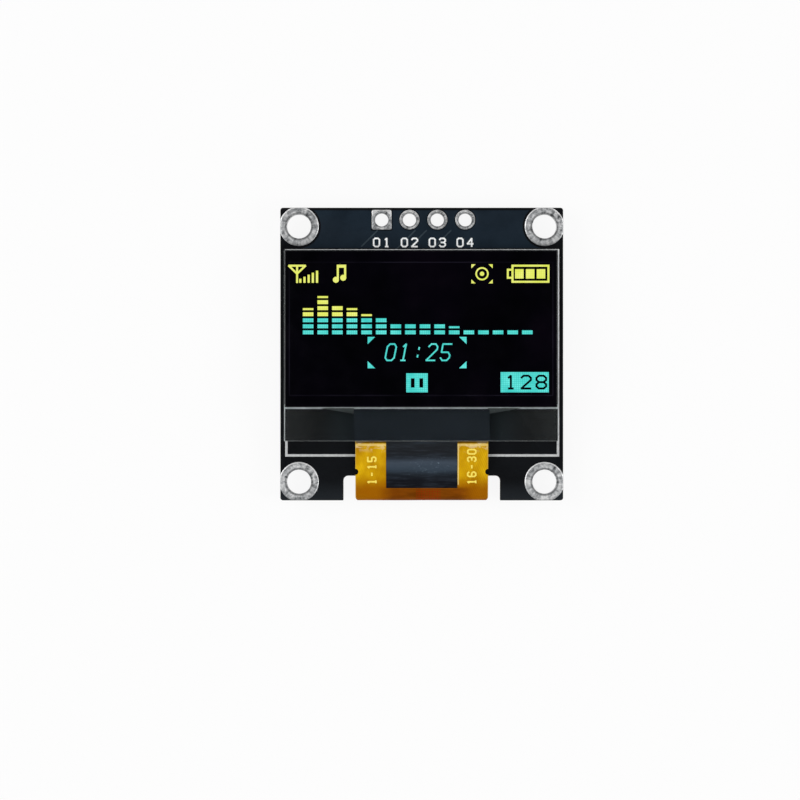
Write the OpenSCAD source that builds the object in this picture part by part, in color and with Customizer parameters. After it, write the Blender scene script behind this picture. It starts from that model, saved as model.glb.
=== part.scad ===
// Small graphic display module: a two-colour emissive glass panel taped to a black circuit board,
// with four mounting holes, a row of plated header holes along one edge, and a flex cable that
// leaves the glass, bends through a notch in the board and is soldered to its back.
//
// Units are millimetres. The origin is the middle of the board, at the level of the tallest parts
// on the back, which the module lies on. +Z leaves the display face, +Y points to the header.

/* [Circuit board] */
// How far the board stands out beyond the line printed round the panel, at each side
board_margin = 0.4; // [0.2:0.01:2]
// Length of the board's strip above the panel, which carries the header holes
header_strip = 3.88; // [3.6:0.02:5]
// Length of the board's strip below the panel, which the flex cable crosses
flex_strip = 5.42; // [4.8:0.02:6.5]
// Thickness of the circuit board
board_t = 1.2; // [0.8:0.1:1.6]
// Radius of the board's outer corners
board_r = 0.25; // [0.1:0.05:0.6]
// Width of the notch that the flex cable bends through
notch_w = 14.3; // [13:0.1:16]
// Depth of the notch
notch_d = 2.25; // [1.3:0.05:2.6]
// Radius of the notch's inner corners
notch_r = 0.45; // [0.1:0.05:1]

/* [Mounting holes] */
// Diameter of the mounting holes
hole_d = 2.2; // [2:0.1:2.5]
// Distance from a mounting hole's centre to both of the board's edges
hole_inset = 1.7; // [1.5:0.05:2]
// Diameter of the tinned ring round a mounting hole
ring_d = 3.6; // [3:0.1:3.8]
// Thickness of the tin on the pads and in the holes
tin_t = 0.05; // [0.03:0.01:0.08]

/* [Header holes] */
// Number of header holes
pin_count = 4; // [2:1:6]
// Distance between header holes
pin_pitch = 2.54; // [2:0.02:2.6]
// Diameter of a header hole
pin_hole_d = 1.2; // [0.8:0.05:1.3]
// Width of a header hole's pad
pin_pad_d = 1.8; // [1.5:0.05:1.9]
// Distance from the header holes' centres to the board's top edge
pin_inset = 1.1; // [1:0.05:1.5]
// Sideways offset of the header row from the board's middle
pin_offset = 0.15; // [-1:0.05:1]
// Diameter of the small plated holes that join the two copper layers
via_d = 0.3; // [0.2:0.05:0.4]
// Width of the tinned rim round such a hole
via_rim = 0.12; // [0.08:0.01:0.15]

/* [Printing on the board] */
// Thickness of the printed ink
ink_t = 0.03; // [0.02:0.01:0.05]
// Width of the line printed round the panel
frame_line = 0.22; // [0.2:0.02:0.5]
// How far that line stands out beside the glass
frame_side = 0.05; // [0.05:0.01:0.25]
// Sideways offset of that line from the board's middle
frame_offset = 0.04; // [-0.1:0.01:0.1]
// How far that line stands out above the glass
frame_top = 0.09; // [0.05:0.01:0.2]
// How far that line stands out below the glass
frame_bottom = 1.43; // [1:0.01:1.8]
// Height of the numbers printed below the header holes
label_h = 0.9; // [0.7:0.05:1]
// Gap between the header pads and those numbers
label_gap = 0.72; // [0.4:0.02:0.9]
// Width of a printed line in the numbers and round the parts on the back
print_line = 0.15; // [0.1:0.01:0.18]

/* [Display glass] */
// Width of the front glass
panel_w = 24.9; // [24.4:0.1:30]
// Length of the front glass
panel_l = 17.4; // [16.6:0.1:24]
// Sideways offset of the glass from the board's middle
panel_offset = -0.07; // [-0.2:0.01:0.2]
// Length of the bare ledge of the front glass, below the rear glass
ledge_l = 3; // [2.6:0.1:3.6]
// Thickness of the front glass
front_glass_t = 0.7; // [0.5:0.05:1.1]
// Thickness of the rear glass
rear_glass_t = 0.5; // [0.4:0.05:0.7]
// Thickness of the polarizing film on the front
film_t = 0.2; // [0.12:0.02:0.3]
// How far the film stands back from the edges of the glass
film_inset = 0.08; // [0.04:0.01:0.15]
// Thickness of the double-sided tape under the glass
tape_t = 0.3; // [0.2:0.05:0.6]
// How far the tape stands back from the edges of the rear glass
tape_inset = 0.7; // [0.6:0.05:1.5]
// Thickness of the seal between the two glasses, and of the emitting layer beside it
seal_t = 0.03; // [0.02:0.01:0.05]
// Width of the seal round the rear glass
seal_w = 0.35; // [0.25:0.05:0.5]
// Depth of the hollow in the rear glass that holds the drying film
hollow_d = 0.2; // [0.15:0.01:0.3]
// Thickness of the drying film
dryer_t = 0.1; // [0.05:0.01:0.12]

/* [Display driver] */
// Length of the driver chip bonded to the ledge
driver_l = 6.8; // [5:0.1:8]
// Width of the driver chip
driver_w = 0.9; // [0.7:0.05:1]
// Thickness of the driver chip
driver_t = 0.3; // [0.2:0.02:0.4]
// Thickness of the black sealant over the driver chip and the cable's bond
sealant_t = 0.45; // [0.42:0.01:0.6]
// Gap between the rear glass and the sealant
sealant_gap = 0.15; // [0.05:0.05:0.3]
// Depth of the bright fans of traces beside the driver chip
fan_d = 0.52; // [0.3:0.02:0.8]
// Length of each fan of traces
fan_l = 3.1; // [2:0.1:3.6]

/* [Lit picture] */
// Number of columns and rows of dots
dot_grid = [128, 64];
// Distance from the glass's left edge to the first column of dots
picture_left = 0.24; // [0.2:0.01:0.6]
// Distance from the last column of dots to the glass's right edge
picture_right = 0.39; // [0.2:0.01:0.6]
// Distance from the glass's top edge to the first row of dots
picture_top = 1.28; // [0.6:0.02:1.6]
// Distance from the last row of dots to the top of the ledge
picture_bottom = 1.43; // [0.6:0.01:1.6]
// Thickness of the lit shapes
lit_t = 0.05; // [0.03:0.01:0.08]
// Lit height of each column of the level meter, in bars
meter = [4.5, 6.5, 5, 4.5, 3.5, 3, 2, 2, 2, 2, 1.5, 1, 1, 1, 1, 1];
// Number of the lowest meter bars that are blue
blue_bars = 3; // [1:1:6]

/* [Flex cable] */
// Width of the flex cable
flex_w = 12.1; // [10:0.1:12.4]
// Thickness of the flex cable
flex_t = 0.1; // [0.08:0.01:0.14]
// Radius of its tight bend round the board's edge
bend_r = 0.6; // [0.4:0.05:0.75]
// Radius of the cable's corners at the bend
flex_r = 0.35; // [0.1:0.05:0.8]
// How far the cable is bonded under the glass
bond_l = 1.1; // [0.8:0.05:1.4]
// Radius of the half-round marks cut into the cable's sides
mark_r = 0.27; // [0.15:0.01:0.4]
// Distance of those marks from the glass
mark_run = 2.8; // [2.2:0.05:3.4]
// Number of the cable's solder pads
pad_count = 30; // [20:1:32]
// Distance between the pads
pad_pitch = 0.62; // [0.5:0.01:0.65]
// Width of a pad and of its solder
pad_w = 0.36; // [0.25:0.01:0.4]
// Length of the cable's wide end, which carries the pads
tail_l = 1.6; // [1.2:0.05:2]
// Gap between the cable's wide end and the mounting rings
tail_gap = 0.2; // [0.1:0.05:0.4]
// Height of the solder on the cable's pads
joint_h = 0.12; // [0.08:0.01:0.2]
// Length of solder on each side of the cable's end
joint_l = 0.5; // [0.35:0.05:0.7]
// Width of the black cover stuck on the bend
cover_w = 6.5; // [5:0.1:7]
// Thickness of the cover
cover_t = 0.05; // [0.03:0.01:0.08]
// Distance from the board's bottom edge to the cover
cover_end = 1.14; // [0.7:0.02:2]
// Height of the numbers printed on the cable
code_h = 0.88; // [0.6:0.02:1.1]
// Distance of those numbers from the cable's side
code_inset = 1.06; // [0.8:0.02:1.2]
// Distance of the numbers' end from the glass
code_run = 0.7; // [0.5:0.05:1]

/* [Parts on the back] */
// Height of the tallest parts, which the module lies on
part_h = 1.1; // [1:0.05:1.3]
// Height of the small capacitors
small_cap_h = 0.8; // [0.6:0.05:0.95]
// Height of the resistors
resistor_h = 0.45; // [0.35:0.05:0.6]
// Size of a small chip part, along its terminals and across
small_chip = [1.6, 0.8];
// Size of a large chip part, along its terminals and across
large_chip = [2, 1.25];
// Length of a chip part's metal ends
terminal_l = 0.35; // [0.2:0.05:0.45]
// How far the solder at a chip part's ends reaches
fillet_l = 0.35; // [0.2:0.05:0.45]
// Distance from the board's sides to the middle of the outermost parts
part_edge = 3.4; // [3:0.1:4.6]
// Distance from the cable's solder to the middle of the first row of parts
first_row = 1.95; // [1.8:0.05:2.2]
// Distance from the first to the second row of parts
row_pitch = 3.8; // [3.6:0.05:4.2]
// Distance from the header holes to the regulator's row
regulator_row = 6.4; // [5.6:0.1:7]
// Size of the regulator's body, along and across
regulator_size = [2.9, 1.3];
// Clearance between the regulator's body and the board
regulator_lift = 0.1; // [0.05:0.01:0.15]
// Thickness of the regulator's leads
lead_t = 0.12; // [0.1:0.01:0.2]
// Width of the regulator's leads
lead_w = 0.4; // [0.3:0.02:0.5]
// How far the regulator's leads reach out
lead_reach = 0.6; // [0.5:0.02:0.75]
// Gap between a part with its solder and the line printed round it
print_gap = 0.22; // [0.18:0.01:0.3]

/* [Hidden] */
$fn = 64;
eps = 0.01;

// Levels, from the back up
board_z = part_h;
face_z = board_z + board_t;
rear_z = face_z + tape_t;
seal_z = rear_z + rear_glass_t;
glass_z = seal_z + seal_t;
film_z = glass_z + front_glass_t;
front_z = film_z + film_t;

// The board is sized round the display glass; below it are the cable's wide end and its pads
board_w = panel_w + 2 * (frame_side + board_margin);
board_l = header_strip + panel_l + flex_strip;
board_top = board_l / 2;
board_bottom = -board_l / 2;
panel_top = board_top - header_strip;
panel_bottom = board_bottom + flex_strip;
panel_left = panel_offset - panel_w / 2;
ledge_top = panel_bottom + ledge_l;
tail_bottom = board_bottom + hole_inset + ring_d / 2 + tail_gap;
tail_top = tail_bottom + tail_l;

// Mounting holes, header holes and the small plated holes
hole_places = [for (y = [1, -1], x = [-1, 1])
    [x * (board_w / 2 - hole_inset), y * (board_l / 2 - hole_inset)]];
header_y = board_top - pin_inset;
pin_places = [for (i = [0:pin_count - 1])
    [pin_offset + (i - (pin_count - 1) / 2) * pin_pitch, header_y]];

// The picture's dots
dot_w = (panel_w - picture_left - picture_right) / dot_grid.x;
dot_h = (panel_l - ledge_l - picture_top - picture_bottom) / dot_grid.y;

// Rows of parts on the back, in six columns
part_pitch = (board_w - 2 * part_edge) / 5;
cap_row_y = tail_top + joint_l + first_row;
resistor_row_y = cap_row_y + row_pitch;
regulator_y = header_y - regulator_row;
regulator_place = [-2 * part_pitch, regulator_y];
large_places = [[-2.5 * part_pitch, cap_row_y], [2.5 * part_pitch, cap_row_y],
    [2 * part_pitch, regulator_y]];
small_places = [for (i = [-1.5:1.5]) [i * part_pitch, cap_row_y],
    [-part_pitch * 2 / 3, regulator_y], [part_pitch * 2 / 3, regulator_y]];
capacitor_places = concat(large_places, small_places);
resistor_places = [for (i = [-2:2]) [i * part_pitch, resistor_row_y]];
via_places = [for (y = [resistor_row_y - row_pitch / 2, resistor_row_y + row_pitch * 2 / 3], i = [-2:2])
    [i * part_pitch, y]];

// The cable's curve: a slack bow from the glass, then the tight bend round the board's edge.
// Both arcs turn the same way, and the bow's angle is the one at which they meet smoothly.
run = flex_strip - flex_t / 2;
drop = glass_z - board_z;
bow_angle = 2 * atan((drop - 2 * bend_r) / (run - bend_r));
bow_r = (run - bend_r * (1 - sin(bow_angle))) / sin(bow_angle);
bow_centre = [panel_bottom, glass_z - flex_t / 2 - bow_r];
bend_centre = bow_centre + (bow_r - bend_r) * [-sin(bow_angle), cos(bow_angle)];

// Strokes of each digit on a grid four wide and six high, from 0 to 9
DIGITS = [
    [[[1, 0], [3, 0], [4, 1], [4, 5], [3, 6], [1, 6], [0, 5], [0, 1], [1, 0]]],
    [[[1, 5], [2, 6], [2, 0]], [[1, 0], [3, 0]]],
    [[[0, 5], [1, 6], [3, 6], [4, 5], [4, 4], [0, 0], [4, 0]]],
    [[[0, 5], [1, 6], [3, 6], [4, 5], [4, 4], [3, 3], [1, 3]],
        [[3, 3], [4, 2], [4, 1], [3, 0], [1, 0], [0, 1]]],
    [[[3, 0], [3, 6], [0, 2], [4, 2]]],
    [[[4, 6], [0, 6], [0, 3], [3, 3], [4, 2], [4, 1], [3, 0], [1, 0], [0, 1]]],
    [[[4, 5], [3, 6], [1, 6], [0, 5], [0, 1], [1, 0], [3, 0], [4, 1], [4, 2], [3, 3], [0, 3]]],
    [[[0, 6], [4, 6], [2, 2], [2, 0]]],
    [[[1, 3], [0, 4], [0, 5], [1, 6], [3, 6], [4, 5], [4, 4], [3, 3], [1, 3], [0, 2], [0, 1], [1, 0],
        [3, 0], [4, 1], [4, 2], [3, 3]]],
    [[[0, 1], [1, 0], [3, 0], [4, 1], [4, 5], [3, 6], [1, 6], [0, 5], [0, 4], [1, 3], [4, 3]]]
];
COLON = [[[2, 1.2], [2, 2]], [[2, 4], [2, 4.8]]];
DASH = [[[0.8, 3], [3.2, 3]]];
GRID = [4, 6];

// ---- Shared shapes ----

// A rectangle about the origin with round corners
module rounded_rect(w, l, r) {
    square([w - 2 * r, l], center = true);
    square([w, l - 2 * r], center = true);
    for (x = [-1, 1], y = [-1, 1]) {
        translate([x * (w / 2 - r), y * (l / 2 - r)]) circle(r);
    }
}

// The outline of a rectangle about the origin, with its line inside the given size
module rect_line(w, l, line) {
    difference() {
        square([w, l], center = true);
        square([w - 2 * line, l - 2 * line], center = true);
    }
}

// A stretch of a ring about the origin, from angle a0 to a1
module ring_sector(r, t, a0, a1) {
    reach = 2 * (r + t);
    intersection() {
        difference() {
            circle(r + t / 2);
            circle(r - t / 2);
        }
        polygon(concat([[0, 0]],
            [for (k = [0:4]) let (a = a0 + (a1 - a0) * k / 4) reach * [cos(a), sin(a)]]));
    }
}

// Extrudes a side view, drawn as (y, z), over a width across the module
module across(w) {
    translate([-w / 2, 0, 0]) rotate([90, 0, 90]) linear_extrude(w) children();
}

// One line of a given width through a list of points
module stroke(points, line) {
    lap = line * tan(22.5) / 2;
    for (i = [0:len(points) - 2]) {
        step = points[i + 1] - points[i];
        translate(points[i]) rotate(atan2(step.y, step.x)) translate([-lap, -line / 2])
            square([norm(step) + 2 * lap, line]);
    }
}

function glyph(c) = c == "-" ? DASH : c == ":" ? COLON : DIGITS[ord(c) - ord("0")];

// A number in digits h high and w wide, each a gap apart, leaning by slant of their height
module number(digits, w, h, gap, line, slant = 0) {
    cell = [(w - line) / GRID.x, (h - line) / GRID.y];
    for (i = [0:len(digits) - 1], path = glyph(digits[i])) {
        stroke([for (p = path)
            [i * (w + gap) + line / 2 + p.x * cell.x + slant * p.y * cell.y,
                line / 2 + p.y * cell.y]], line);
    }
}

function number_w(digits, w, gap) = len(digits) * (w + gap) - gap;

// Puts a part on the back of the board, where its own +Z points away from the board
module on_back(place, turn = 0) {
    translate([place.x, place.y, board_z]) mirror([0, 0, 1]) rotate(turn) children();
}

// ---- Circuit board ----

module board_outline() {
    difference() {
        rounded_rect(board_w, board_l, board_r);
        translate([0, board_bottom]) rounded_rect(notch_w, 2 * notch_d, notch_r);
    }
}

module circuit_board() {
    color("#1c2328") translate([0, 0, board_z]) linear_extrude(board_t) difference() {
        board_outline();
        for (p = hole_places) translate(p) circle(d = hole_d + 2 * tin_t);
        for (p = pin_places) translate(p) circle(d = pin_hole_d + 2 * tin_t);
        for (p = via_places) translate(p) circle(d = via_d + 2 * tin_t);
    }
}

// The line round the panel, and a number below each header hole
module front_silkscreen() {
    line_top = panel_top + frame_top;
    line_bottom = panel_bottom - frame_bottom;
    digit_w = label_h * 0.75;
    digit_gap = label_h * 0.28;
    color("white") translate([0, 0, face_z]) linear_extrude(ink_t) {
        translate([frame_offset, (line_top + line_bottom) / 2])
            rect_line(panel_w + 2 * frame_side, line_top - line_bottom, frame_line);
        for (i = [1:pin_count]) {
            digits = str("0", i);
            translate([pin_places[i - 1].x - number_w(digits, digit_w, digit_gap) / 2,
                header_y - pin_pad_d / 2 - label_gap - label_h])
                number(digits, digit_w, label_h, digit_gap, print_line);
        }
    }
}

// A line round each part on the back, and a number beside the first and last header holes
module back_silkscreen() {
    room = 2 * (print_gap + print_line);
    digit_w = label_h * 0.75;
    color("white") translate([0, 0, board_z - ink_t]) linear_extrude(ink_t) {
        for (p = large_places) {
            translate(p) rect_line(large_chip.y + room, large_chip.x + 2 * fillet_l + room, print_line);
        }
        for (p = concat(small_places, resistor_places)) {
            translate(p) rect_line(small_chip.y + room, small_chip.x + 2 * fillet_l + room, print_line);
        }
        translate(regulator_place)
            rect_line(regulator_size.x + room, regulator_size.y + 2 * lead_reach + room, print_line);
        for (i = [1, pin_count]) {
            translate([pin_places[i - 1].x, header_y - pin_pad_d / 2 - label_gap - label_h]) mirror([1, 0])
                translate([-digit_w / 2, 0]) number(str(i), digit_w, label_h, 0, print_line);
        }
    }
}

// The small plated holes: their rims lie on the back, and their fronts are flush under the panel
module vias() {
    color("silver") for (p = via_places) translate([p.x, p.y, board_z - tin_t]) difference() {
        union() {
            cylinder(d = via_d + 2 * tin_t, h = board_t + tin_t);
            cylinder(d = via_d + 2 * (tin_t + via_rim), h = tin_t);
        }
        translate([0, 0, -eps]) cylinder(d = via_d, h = board_t + tin_t + 2 * eps);
    }
}

// A plated hole: a tinned barrel through the board, with a pad of the child's outline on each face
module eyelet(place, d) {
    difference() {
        union() {
            translate([place.x, place.y, board_z]) cylinder(d = d + 2 * tin_t, h = board_t);
            for (z = [board_z - tin_t, face_z]) translate([0, 0, z]) linear_extrude(tin_t) children();
        }
        translate([place.x, place.y, board_z - tin_t - eps])
            cylinder(d = d, h = board_t + 2 * (tin_t + eps));
    }
}

module mount_eyelet(i) {
    place = hole_places[i - 1];
    color("silver") eyelet(place, hole_d) intersection() {
        translate(place) circle(d = ring_d);
        rounded_rect(board_w, board_l, board_r);
    }
}

// The first header hole has a square pad
module header_eyelet(i) {
    place = pin_places[i - 1];
    color("silver") eyelet(place, pin_hole_d) translate(place) {
        if (i == 1) {
            square(pin_pad_d, center = true);
        } else {
            circle(d = pin_pad_d);
        }
    }
}

// ---- Display panel ----

// A plate as wide as the panel, inset from its edges, from the ledge's top to the panel's top
module panel_plate(inset, t) {
    translate([panel_left + inset, ledge_top + inset, 0])
        cube([panel_w - 2 * inset, panel_top - ledge_top - 2 * inset, t]);
}

module panel_tape() {
    color("#202020") translate([0, 0, face_z]) panel_plate(tape_inset, tape_t);
}

module rear_glass() {
    color("#2a3136") difference() {
        translate([0, 0, rear_z]) panel_plate(0, rear_glass_t);
        translate([0, 0, seal_z - hollow_d]) panel_plate(2 * seal_w, hollow_d + eps);
    }
}

module drying_film() {
    color("#b8bcc0") translate([0, 0, seal_z - hollow_d]) panel_plate(3 * seal_w, dryer_t);
}

module edge_seal() {
    color("#8a8f94") translate([0, 0, seal_z]) difference() {
        panel_plate(0, seal_t);
        translate([0, 0, -eps]) panel_plate(seal_w, seal_t + 2 * eps);
    }
}

module emitter_layer() {
    color("#121018") translate([0, 0, seal_z]) panel_plate(1.5 * seal_w, seal_t);
}

module front_glass() {
    color("#30383d") translate([panel_left, panel_bottom, glass_z]) cube([panel_w, panel_l, front_glass_t]);
}

module polarizer() {
    color("#08070c") difference() {
        translate([0, 0, film_z]) panel_plate(film_inset, film_t);
        lit(eps) {
            yellow_picture();
            blue_picture();
        }
    }
}

// Thin plates flush with the front of the film, in the outline of a picture, and raised by extra
module lit(extra = 0) {
    translate([0, 0, front_z - lit_t]) linear_extrude(lit_t + extra) children();
}

module yellow_pixels() {
    color("#eeee6e") lit() yellow_picture();
}

module blue_pixels() {
    color("#3ce6eb") lit() blue_picture();
}

// ---- The lit picture, laid out in columns and rows of dots from its top left corner ----

function dots(c, r) = [panel_left + picture_left + c * dot_w, panel_top - picture_top - r * dot_h];

// A filled box from one column and row to another
module dot_box(c0, r0, c1, r1) {
    translate(dots(c0, r1)) square([(c1 - c0) * dot_w, (r1 - r0) * dot_h]);
}

// An empty box whose line is one dot wide
module dot_frame(c0, r0, c1, r1) {
    difference() {
        dot_box(c0, r0, c1, r1);
        dot_box(c0 + 1, r0 + 1, c1 - 1, r1 - 1);
    }
}

// Four corner pieces of a box, each a right triangle with legs of the given dots
module dot_corners(c0, r0, c1, r1, leg) {
    for (c = [[c0, 1], [c1, -1]], r = [[r0, 1], [r1, -1]]) {
        polygon([dots(c[0], r[0]), dots(c[0] + c[1] * leg, r[0]), dots(c[0], r[0] + r[1] * leg)]);
    }
}

// A signal mast with five rising bars
module signal_icon() {
    mast = [for (p = [[5, 9.4], [5, 5], [1, 1], [9, 1], [5, 5]]) dots(p.x, p.y)];
    stroke(mast, dot_h);
    stroke([mast[1], dots(5, 1)], dot_w);
    for (i = [0:4]) {
        dot_box(6 + 2 * i, 7.5 - i, 7.1 + 2 * i, 9.5);
    }
}

// A musical note
module note_icon() {
    dot_box(24, 0.5, 25, 8);
    dot_box(24, 0.5, 28, 2);
    dot_box(27.5, 0.5, 28.5, 7);
    for (p = [[23.6, 8], [27.1, 7]]) translate(dots(p.x, p.y)) circle(d = 3 * dot_h);
}

// A target: a ring with a middle dot, in four corners
module target_icon() {
    translate(dots(93.6, 5)) {
        difference() {
            circle(d = 6.6 * dot_h);
            circle(d = 5 * dot_h);
        }
        circle(d = 2.2 * dot_h);
    }
    dot_corners(88.5, 0.3, 98.7, 9.8, 2);
}

// A battery with its nose to the left and three filled cells
module battery_icon() {
    dot_frame(107.7, 0.5, 125.9, 9.5);
    difference() {
        dot_box(105.5, 2.5, 107.7, 7.5);
        dot_box(106.4, 3.5, 107.8, 6.5);
    }
    for (i = [0:2]) {
        dot_box(109.4 + 5.2 * i, 2.7, 113.5 + 5.2 * i, 7.4);
    }
}

// Bar number b of a meter column, which is half as high at the end of a half bar
module meter_bar(column, b, lit) {
    foot = 35.1 - 3 * b;
    dot_box(7.75 + 7 * column, foot - (lit - b < 1 ? 1 : 1.95), 12.8 + 7 * column, foot);
}

// The meter's bars from number b0 up to number b1
module meter_bars(b0, b1) {
    for (column = [0:len(meter) - 1], b = [b0:b1]) {
        if (b < meter[column]) meter_bar(column, b, meter[column]);
    }
}

module yellow_picture() {
    signal_icon();
    note_icon();
    target_icon();
    battery_icon();
    meter_bars(blue_bars, ceil(max(meter)));
}

// A time in leaning digits between four corners
module time_icon() {
    translate(dots(46.6, 48.5)) number("01:25", 5 * dot_w, 8.9 * dot_h, 1.6 * dot_w, 0.75 * dot_w, 0.2);
    dot_corners(38.8, 36.4, 86.2, 52, 3.6);
}

// A pause sign cut out of a box
module pause_icon() {
    difference() {
        dot_box(57.3, 54.5, 67.6, 64);
        for (c = [59.5, 63.6]) dot_box(c, 57, c + 1.8, 61.6);
    }
}

// A number cut out of a box
module number_icon() {
    difference() {
        dot_box(102.5, 53.9, 125.6, 64);
        translate(dots(104.6, 62.6)) number("128", 5.6 * dot_w, 7.4 * dot_h, 1.7 * dot_w, dot_w);
    }
}

module blue_picture() {
    meter_bars(0, blue_bars - 1);
    time_icon();
    pause_icon();
    number_icon();
}

// ---- Driver chip and its bond, under the ledge ----

// The driver chip's middle lies midway between the rear glass and the cable's bond
driver_y = (ledge_top + panel_bottom + bond_l) / 2;

module trace_fans() {
    color("#c8ccd0") translate([panel_offset, ledge_top, glass_z - seal_t]) linear_extrude(seal_t)
        for (side = [-1, 1]) {
            polygon([[side * flex_w / 2, 0], [side * (flex_w / 2 + fan_l), 0],
                [side * flex_w / 2, -fan_d]]);
        }
}

module driver_chip() {
    color("#3a4046") translate([panel_offset - driver_l / 2, driver_y - driver_w / 2, glass_z - driver_t])
        cube([driver_l, driver_w, driver_t]);
}

module bond_sealant() {
    top = ledge_top - sealant_gap;
    color("#242a30") difference() {
        translate([panel_offset - flex_w / 2, panel_bottom, glass_z - sealant_t])
            cube([flex_w, top - panel_bottom, sealant_t]);
        translate([panel_offset - flex_w / 2 - eps, panel_bottom - eps, glass_z - flex_t])
            cube([flex_w + 2 * eps, bond_l + eps, flex_t + eps]);
        translate([panel_offset - driver_l / 2, driver_y - driver_w / 2, glass_z - driver_t])
            cube([driver_l, driver_w, driver_t + eps]);
    }
}

// ---- Flex cable ----

// Side view of the cable's neck: its bond, bow, bend and run under the board
module neck_side() {
    translate([panel_bottom, glass_z - flex_t]) square([bond_l, flex_t]);
    translate(bow_centre) ring_sector(bow_r, flex_t, 90, 90 + bow_angle);
    translate(bend_centre) ring_sector(bend_r, flex_t, 90 + bow_angle, 270);
    translate([bend_centre.x, board_z - flex_t]) square([tail_bottom - bend_centre.x, flex_t]);
}

// The cable's neck from above, with round corners at the bend
module neck_plan() {
    neck_l = panel_top - board_bottom;
    translate([0, board_bottom + neck_l / 2]) rounded_rect(flex_w, neck_l, flex_r);
}

module flex_cable() {
    tail_w = (pad_count - 1) * pad_pitch + 2 * pad_w;
    color("#c88208") {
        difference() {
            intersection() {
                across(flex_w + 1) neck_side();
                linear_extrude(front_z) neck_plan();
            }
            for (side = [-1, 1]) translate([side * flex_w / 2, panel_bottom - mark_run, face_z])
                cylinder(r = mark_r, h = front_z - face_z);
        }
        translate([-tail_w / 2, tail_bottom, board_z - flex_t]) cube([tail_w, tail_l, flex_t]);
    }
}

// A thin band on the outside of the cable's bow, up to a distance from the glass
module on_bow(t, w, reach) {
    r = bow_r + (flex_t + t) / 2;
    across(w) translate(bow_centre) ring_sector(r, t, 90, 90 + asin(reach / r));
}

module flex_cover() {
    color("#232a37") on_bow(cover_t, cover_w, flex_strip - cover_end);
}

// Numbers of the first and last conductors, read along the cable
module flex_marking() {
    digit_w = code_h * 0.62;
    digit_gap = code_h * 0.16;
    length = number_w("16-30", digit_w, digit_gap);
    color("#f4e6b0") intersection() {
        on_bow(ink_t, flex_w, code_run + length + digit_gap);
        linear_extrude(front_z) for (code = [["1-15", -1], ["16-30", 1]]) {
            middle = code[1] * (flex_w / 2 - code_inset - code_h / 2);
            translate([middle + code_h / 2, panel_bottom - code_run - length]) rotate(90)
                number(code[0], digit_w, code_h, digit_gap, print_line);
        }
    }
}

// A bead of solder over the end of the cable at each pad
module flex_solder() {
    top = flex_t + joint_h;
    side = [[-joint_l, flex_t], [-0.7 * joint_l, top], [0.2 * joint_l, top], [joint_l, 0],
        [0, 0], [0, flex_t]];
    color("silver") for (i = [0:pad_count - 1]) {
        translate([(i - (pad_count - 1) / 2) * pad_pitch, 0, 0]) across(pad_w)
            polygon([for (p = side) [tail_top + p.x, board_z - p.y]]);
    }
}

// ---- Parts on the back ----

// A chip part with metal ends that stand out a little from its body
module chip(size, h) {
    skin = 0.02;
    translate([skin - size.x / 2, skin - size.y / 2, skin])
        cube([size.x, size.y, h] - 2 * skin * [1, 1, 1]);
    for (x = [-size.x / 2, size.x / 2 - terminal_l]) {
        translate([x, -size.y / 2, 0]) cube([terminal_l, size.y, h]);
    }
}

module capacitor(i) {
    large = i <= len(large_places);
    color("#9a7a5a") on_back(capacitor_places[i - 1], 90)
        chip(large ? large_chip : small_chip, large ? part_h : small_cap_h);
}

module resistor(i) {
    color("#1a1a1c") on_back(resistor_places[i - 1], 90) chip(small_chip, resistor_h);
}

// The solder at both ends of a chip part
module fillets(size, h) {
    for (side = [0, 180]) rotate(side) translate([size.x / 2, size.y / 2, 0]) rotate([90, 0, 0])
        linear_extrude(size.y) polygon([[0, 0], [fillet_l, 0], [0, 0.6 * h]]);
}

module chip_solder() {
    color("silver") {
        for (p = large_places) on_back(p, 90) fillets(large_chip, part_h);
        for (p = small_places) on_back(p, 90) fillets(small_chip, small_cap_h);
        for (p = resistor_places) on_back(p, 90) fillets(small_chip, resistor_h);
    }
}

// The regulator's body, whose sides slope away from a narrow flat band
module regulator_body() {
    half = regulator_size.y / 2;
    slope = 0.08;
    band = [regulator_lift + 0.35 * part_h, part_h - 0.35 * part_h];
    right = [[half - slope, regulator_lift], [half, band[0]], [half, band[1]], [half - slope, part_h]];
    left = [for (k = [3:-1:0]) [-right[k].x, right[k].y]];
    color("#1e1e20") on_back(regulator_place) across(regulator_size.x) polygon(concat(right, left));
}

// Three bent leads: one on the upper side and two on the lower
module regulator_leads() {
    half = regulator_size.y / 2;
    knee = half + lead_reach / 2;
    top = (regulator_lift + part_h) / 2 + lead_t / 2;
    lead = [[half, top], [knee, top], [knee, lead_t], [half + lead_reach, lead_t], [half + lead_reach, 0],
        [knee - lead_t, 0], [knee - lead_t, top - lead_t], [half, top - lead_t]];
    spread = regulator_size.x / 3;
    color("silver") on_back(regulator_place) {
        across(lead_w) polygon(lead);
        for (x = [-spread, spread]) translate([x, 0, 0]) rotate(180) across(lead_w) polygon(lead);
    }
}

// ---- One line for each node ----

circuit_board();
front_silkscreen();
back_silkscreen();
vias();
for (i = [1:4]) mount_eyelet(i);
for (i = [1:pin_count]) header_eyelet(i);
panel_tape();
rear_glass();
drying_film();
edge_seal();
emitter_layer();
front_glass();
polarizer();
yellow_pixels();
blue_pixels();
trace_fans();
driver_chip();
bond_sealant();
flex_cable();
flex_cover();
flex_marking();
flex_solder();
for (i = [1:len(capacitor_places)]) capacitor(i);
for (i = [1:len(resistor_places)]) resistor(i);
regulator_body();
regulator_leads();
chip_solder();
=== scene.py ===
"""Looks of a small display module: a lit glass panel on a black circuit board, with a flex cable.

Shapes are built in millimetres and stored in metres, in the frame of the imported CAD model.
"""

from math import asin, atan, atan2, copysign, cos, degrees, hypot, pi, radians, sin, sqrt, tan

import bmesh
import bpy
from mathutils import Matrix, Vector, geometry, noise


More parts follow.
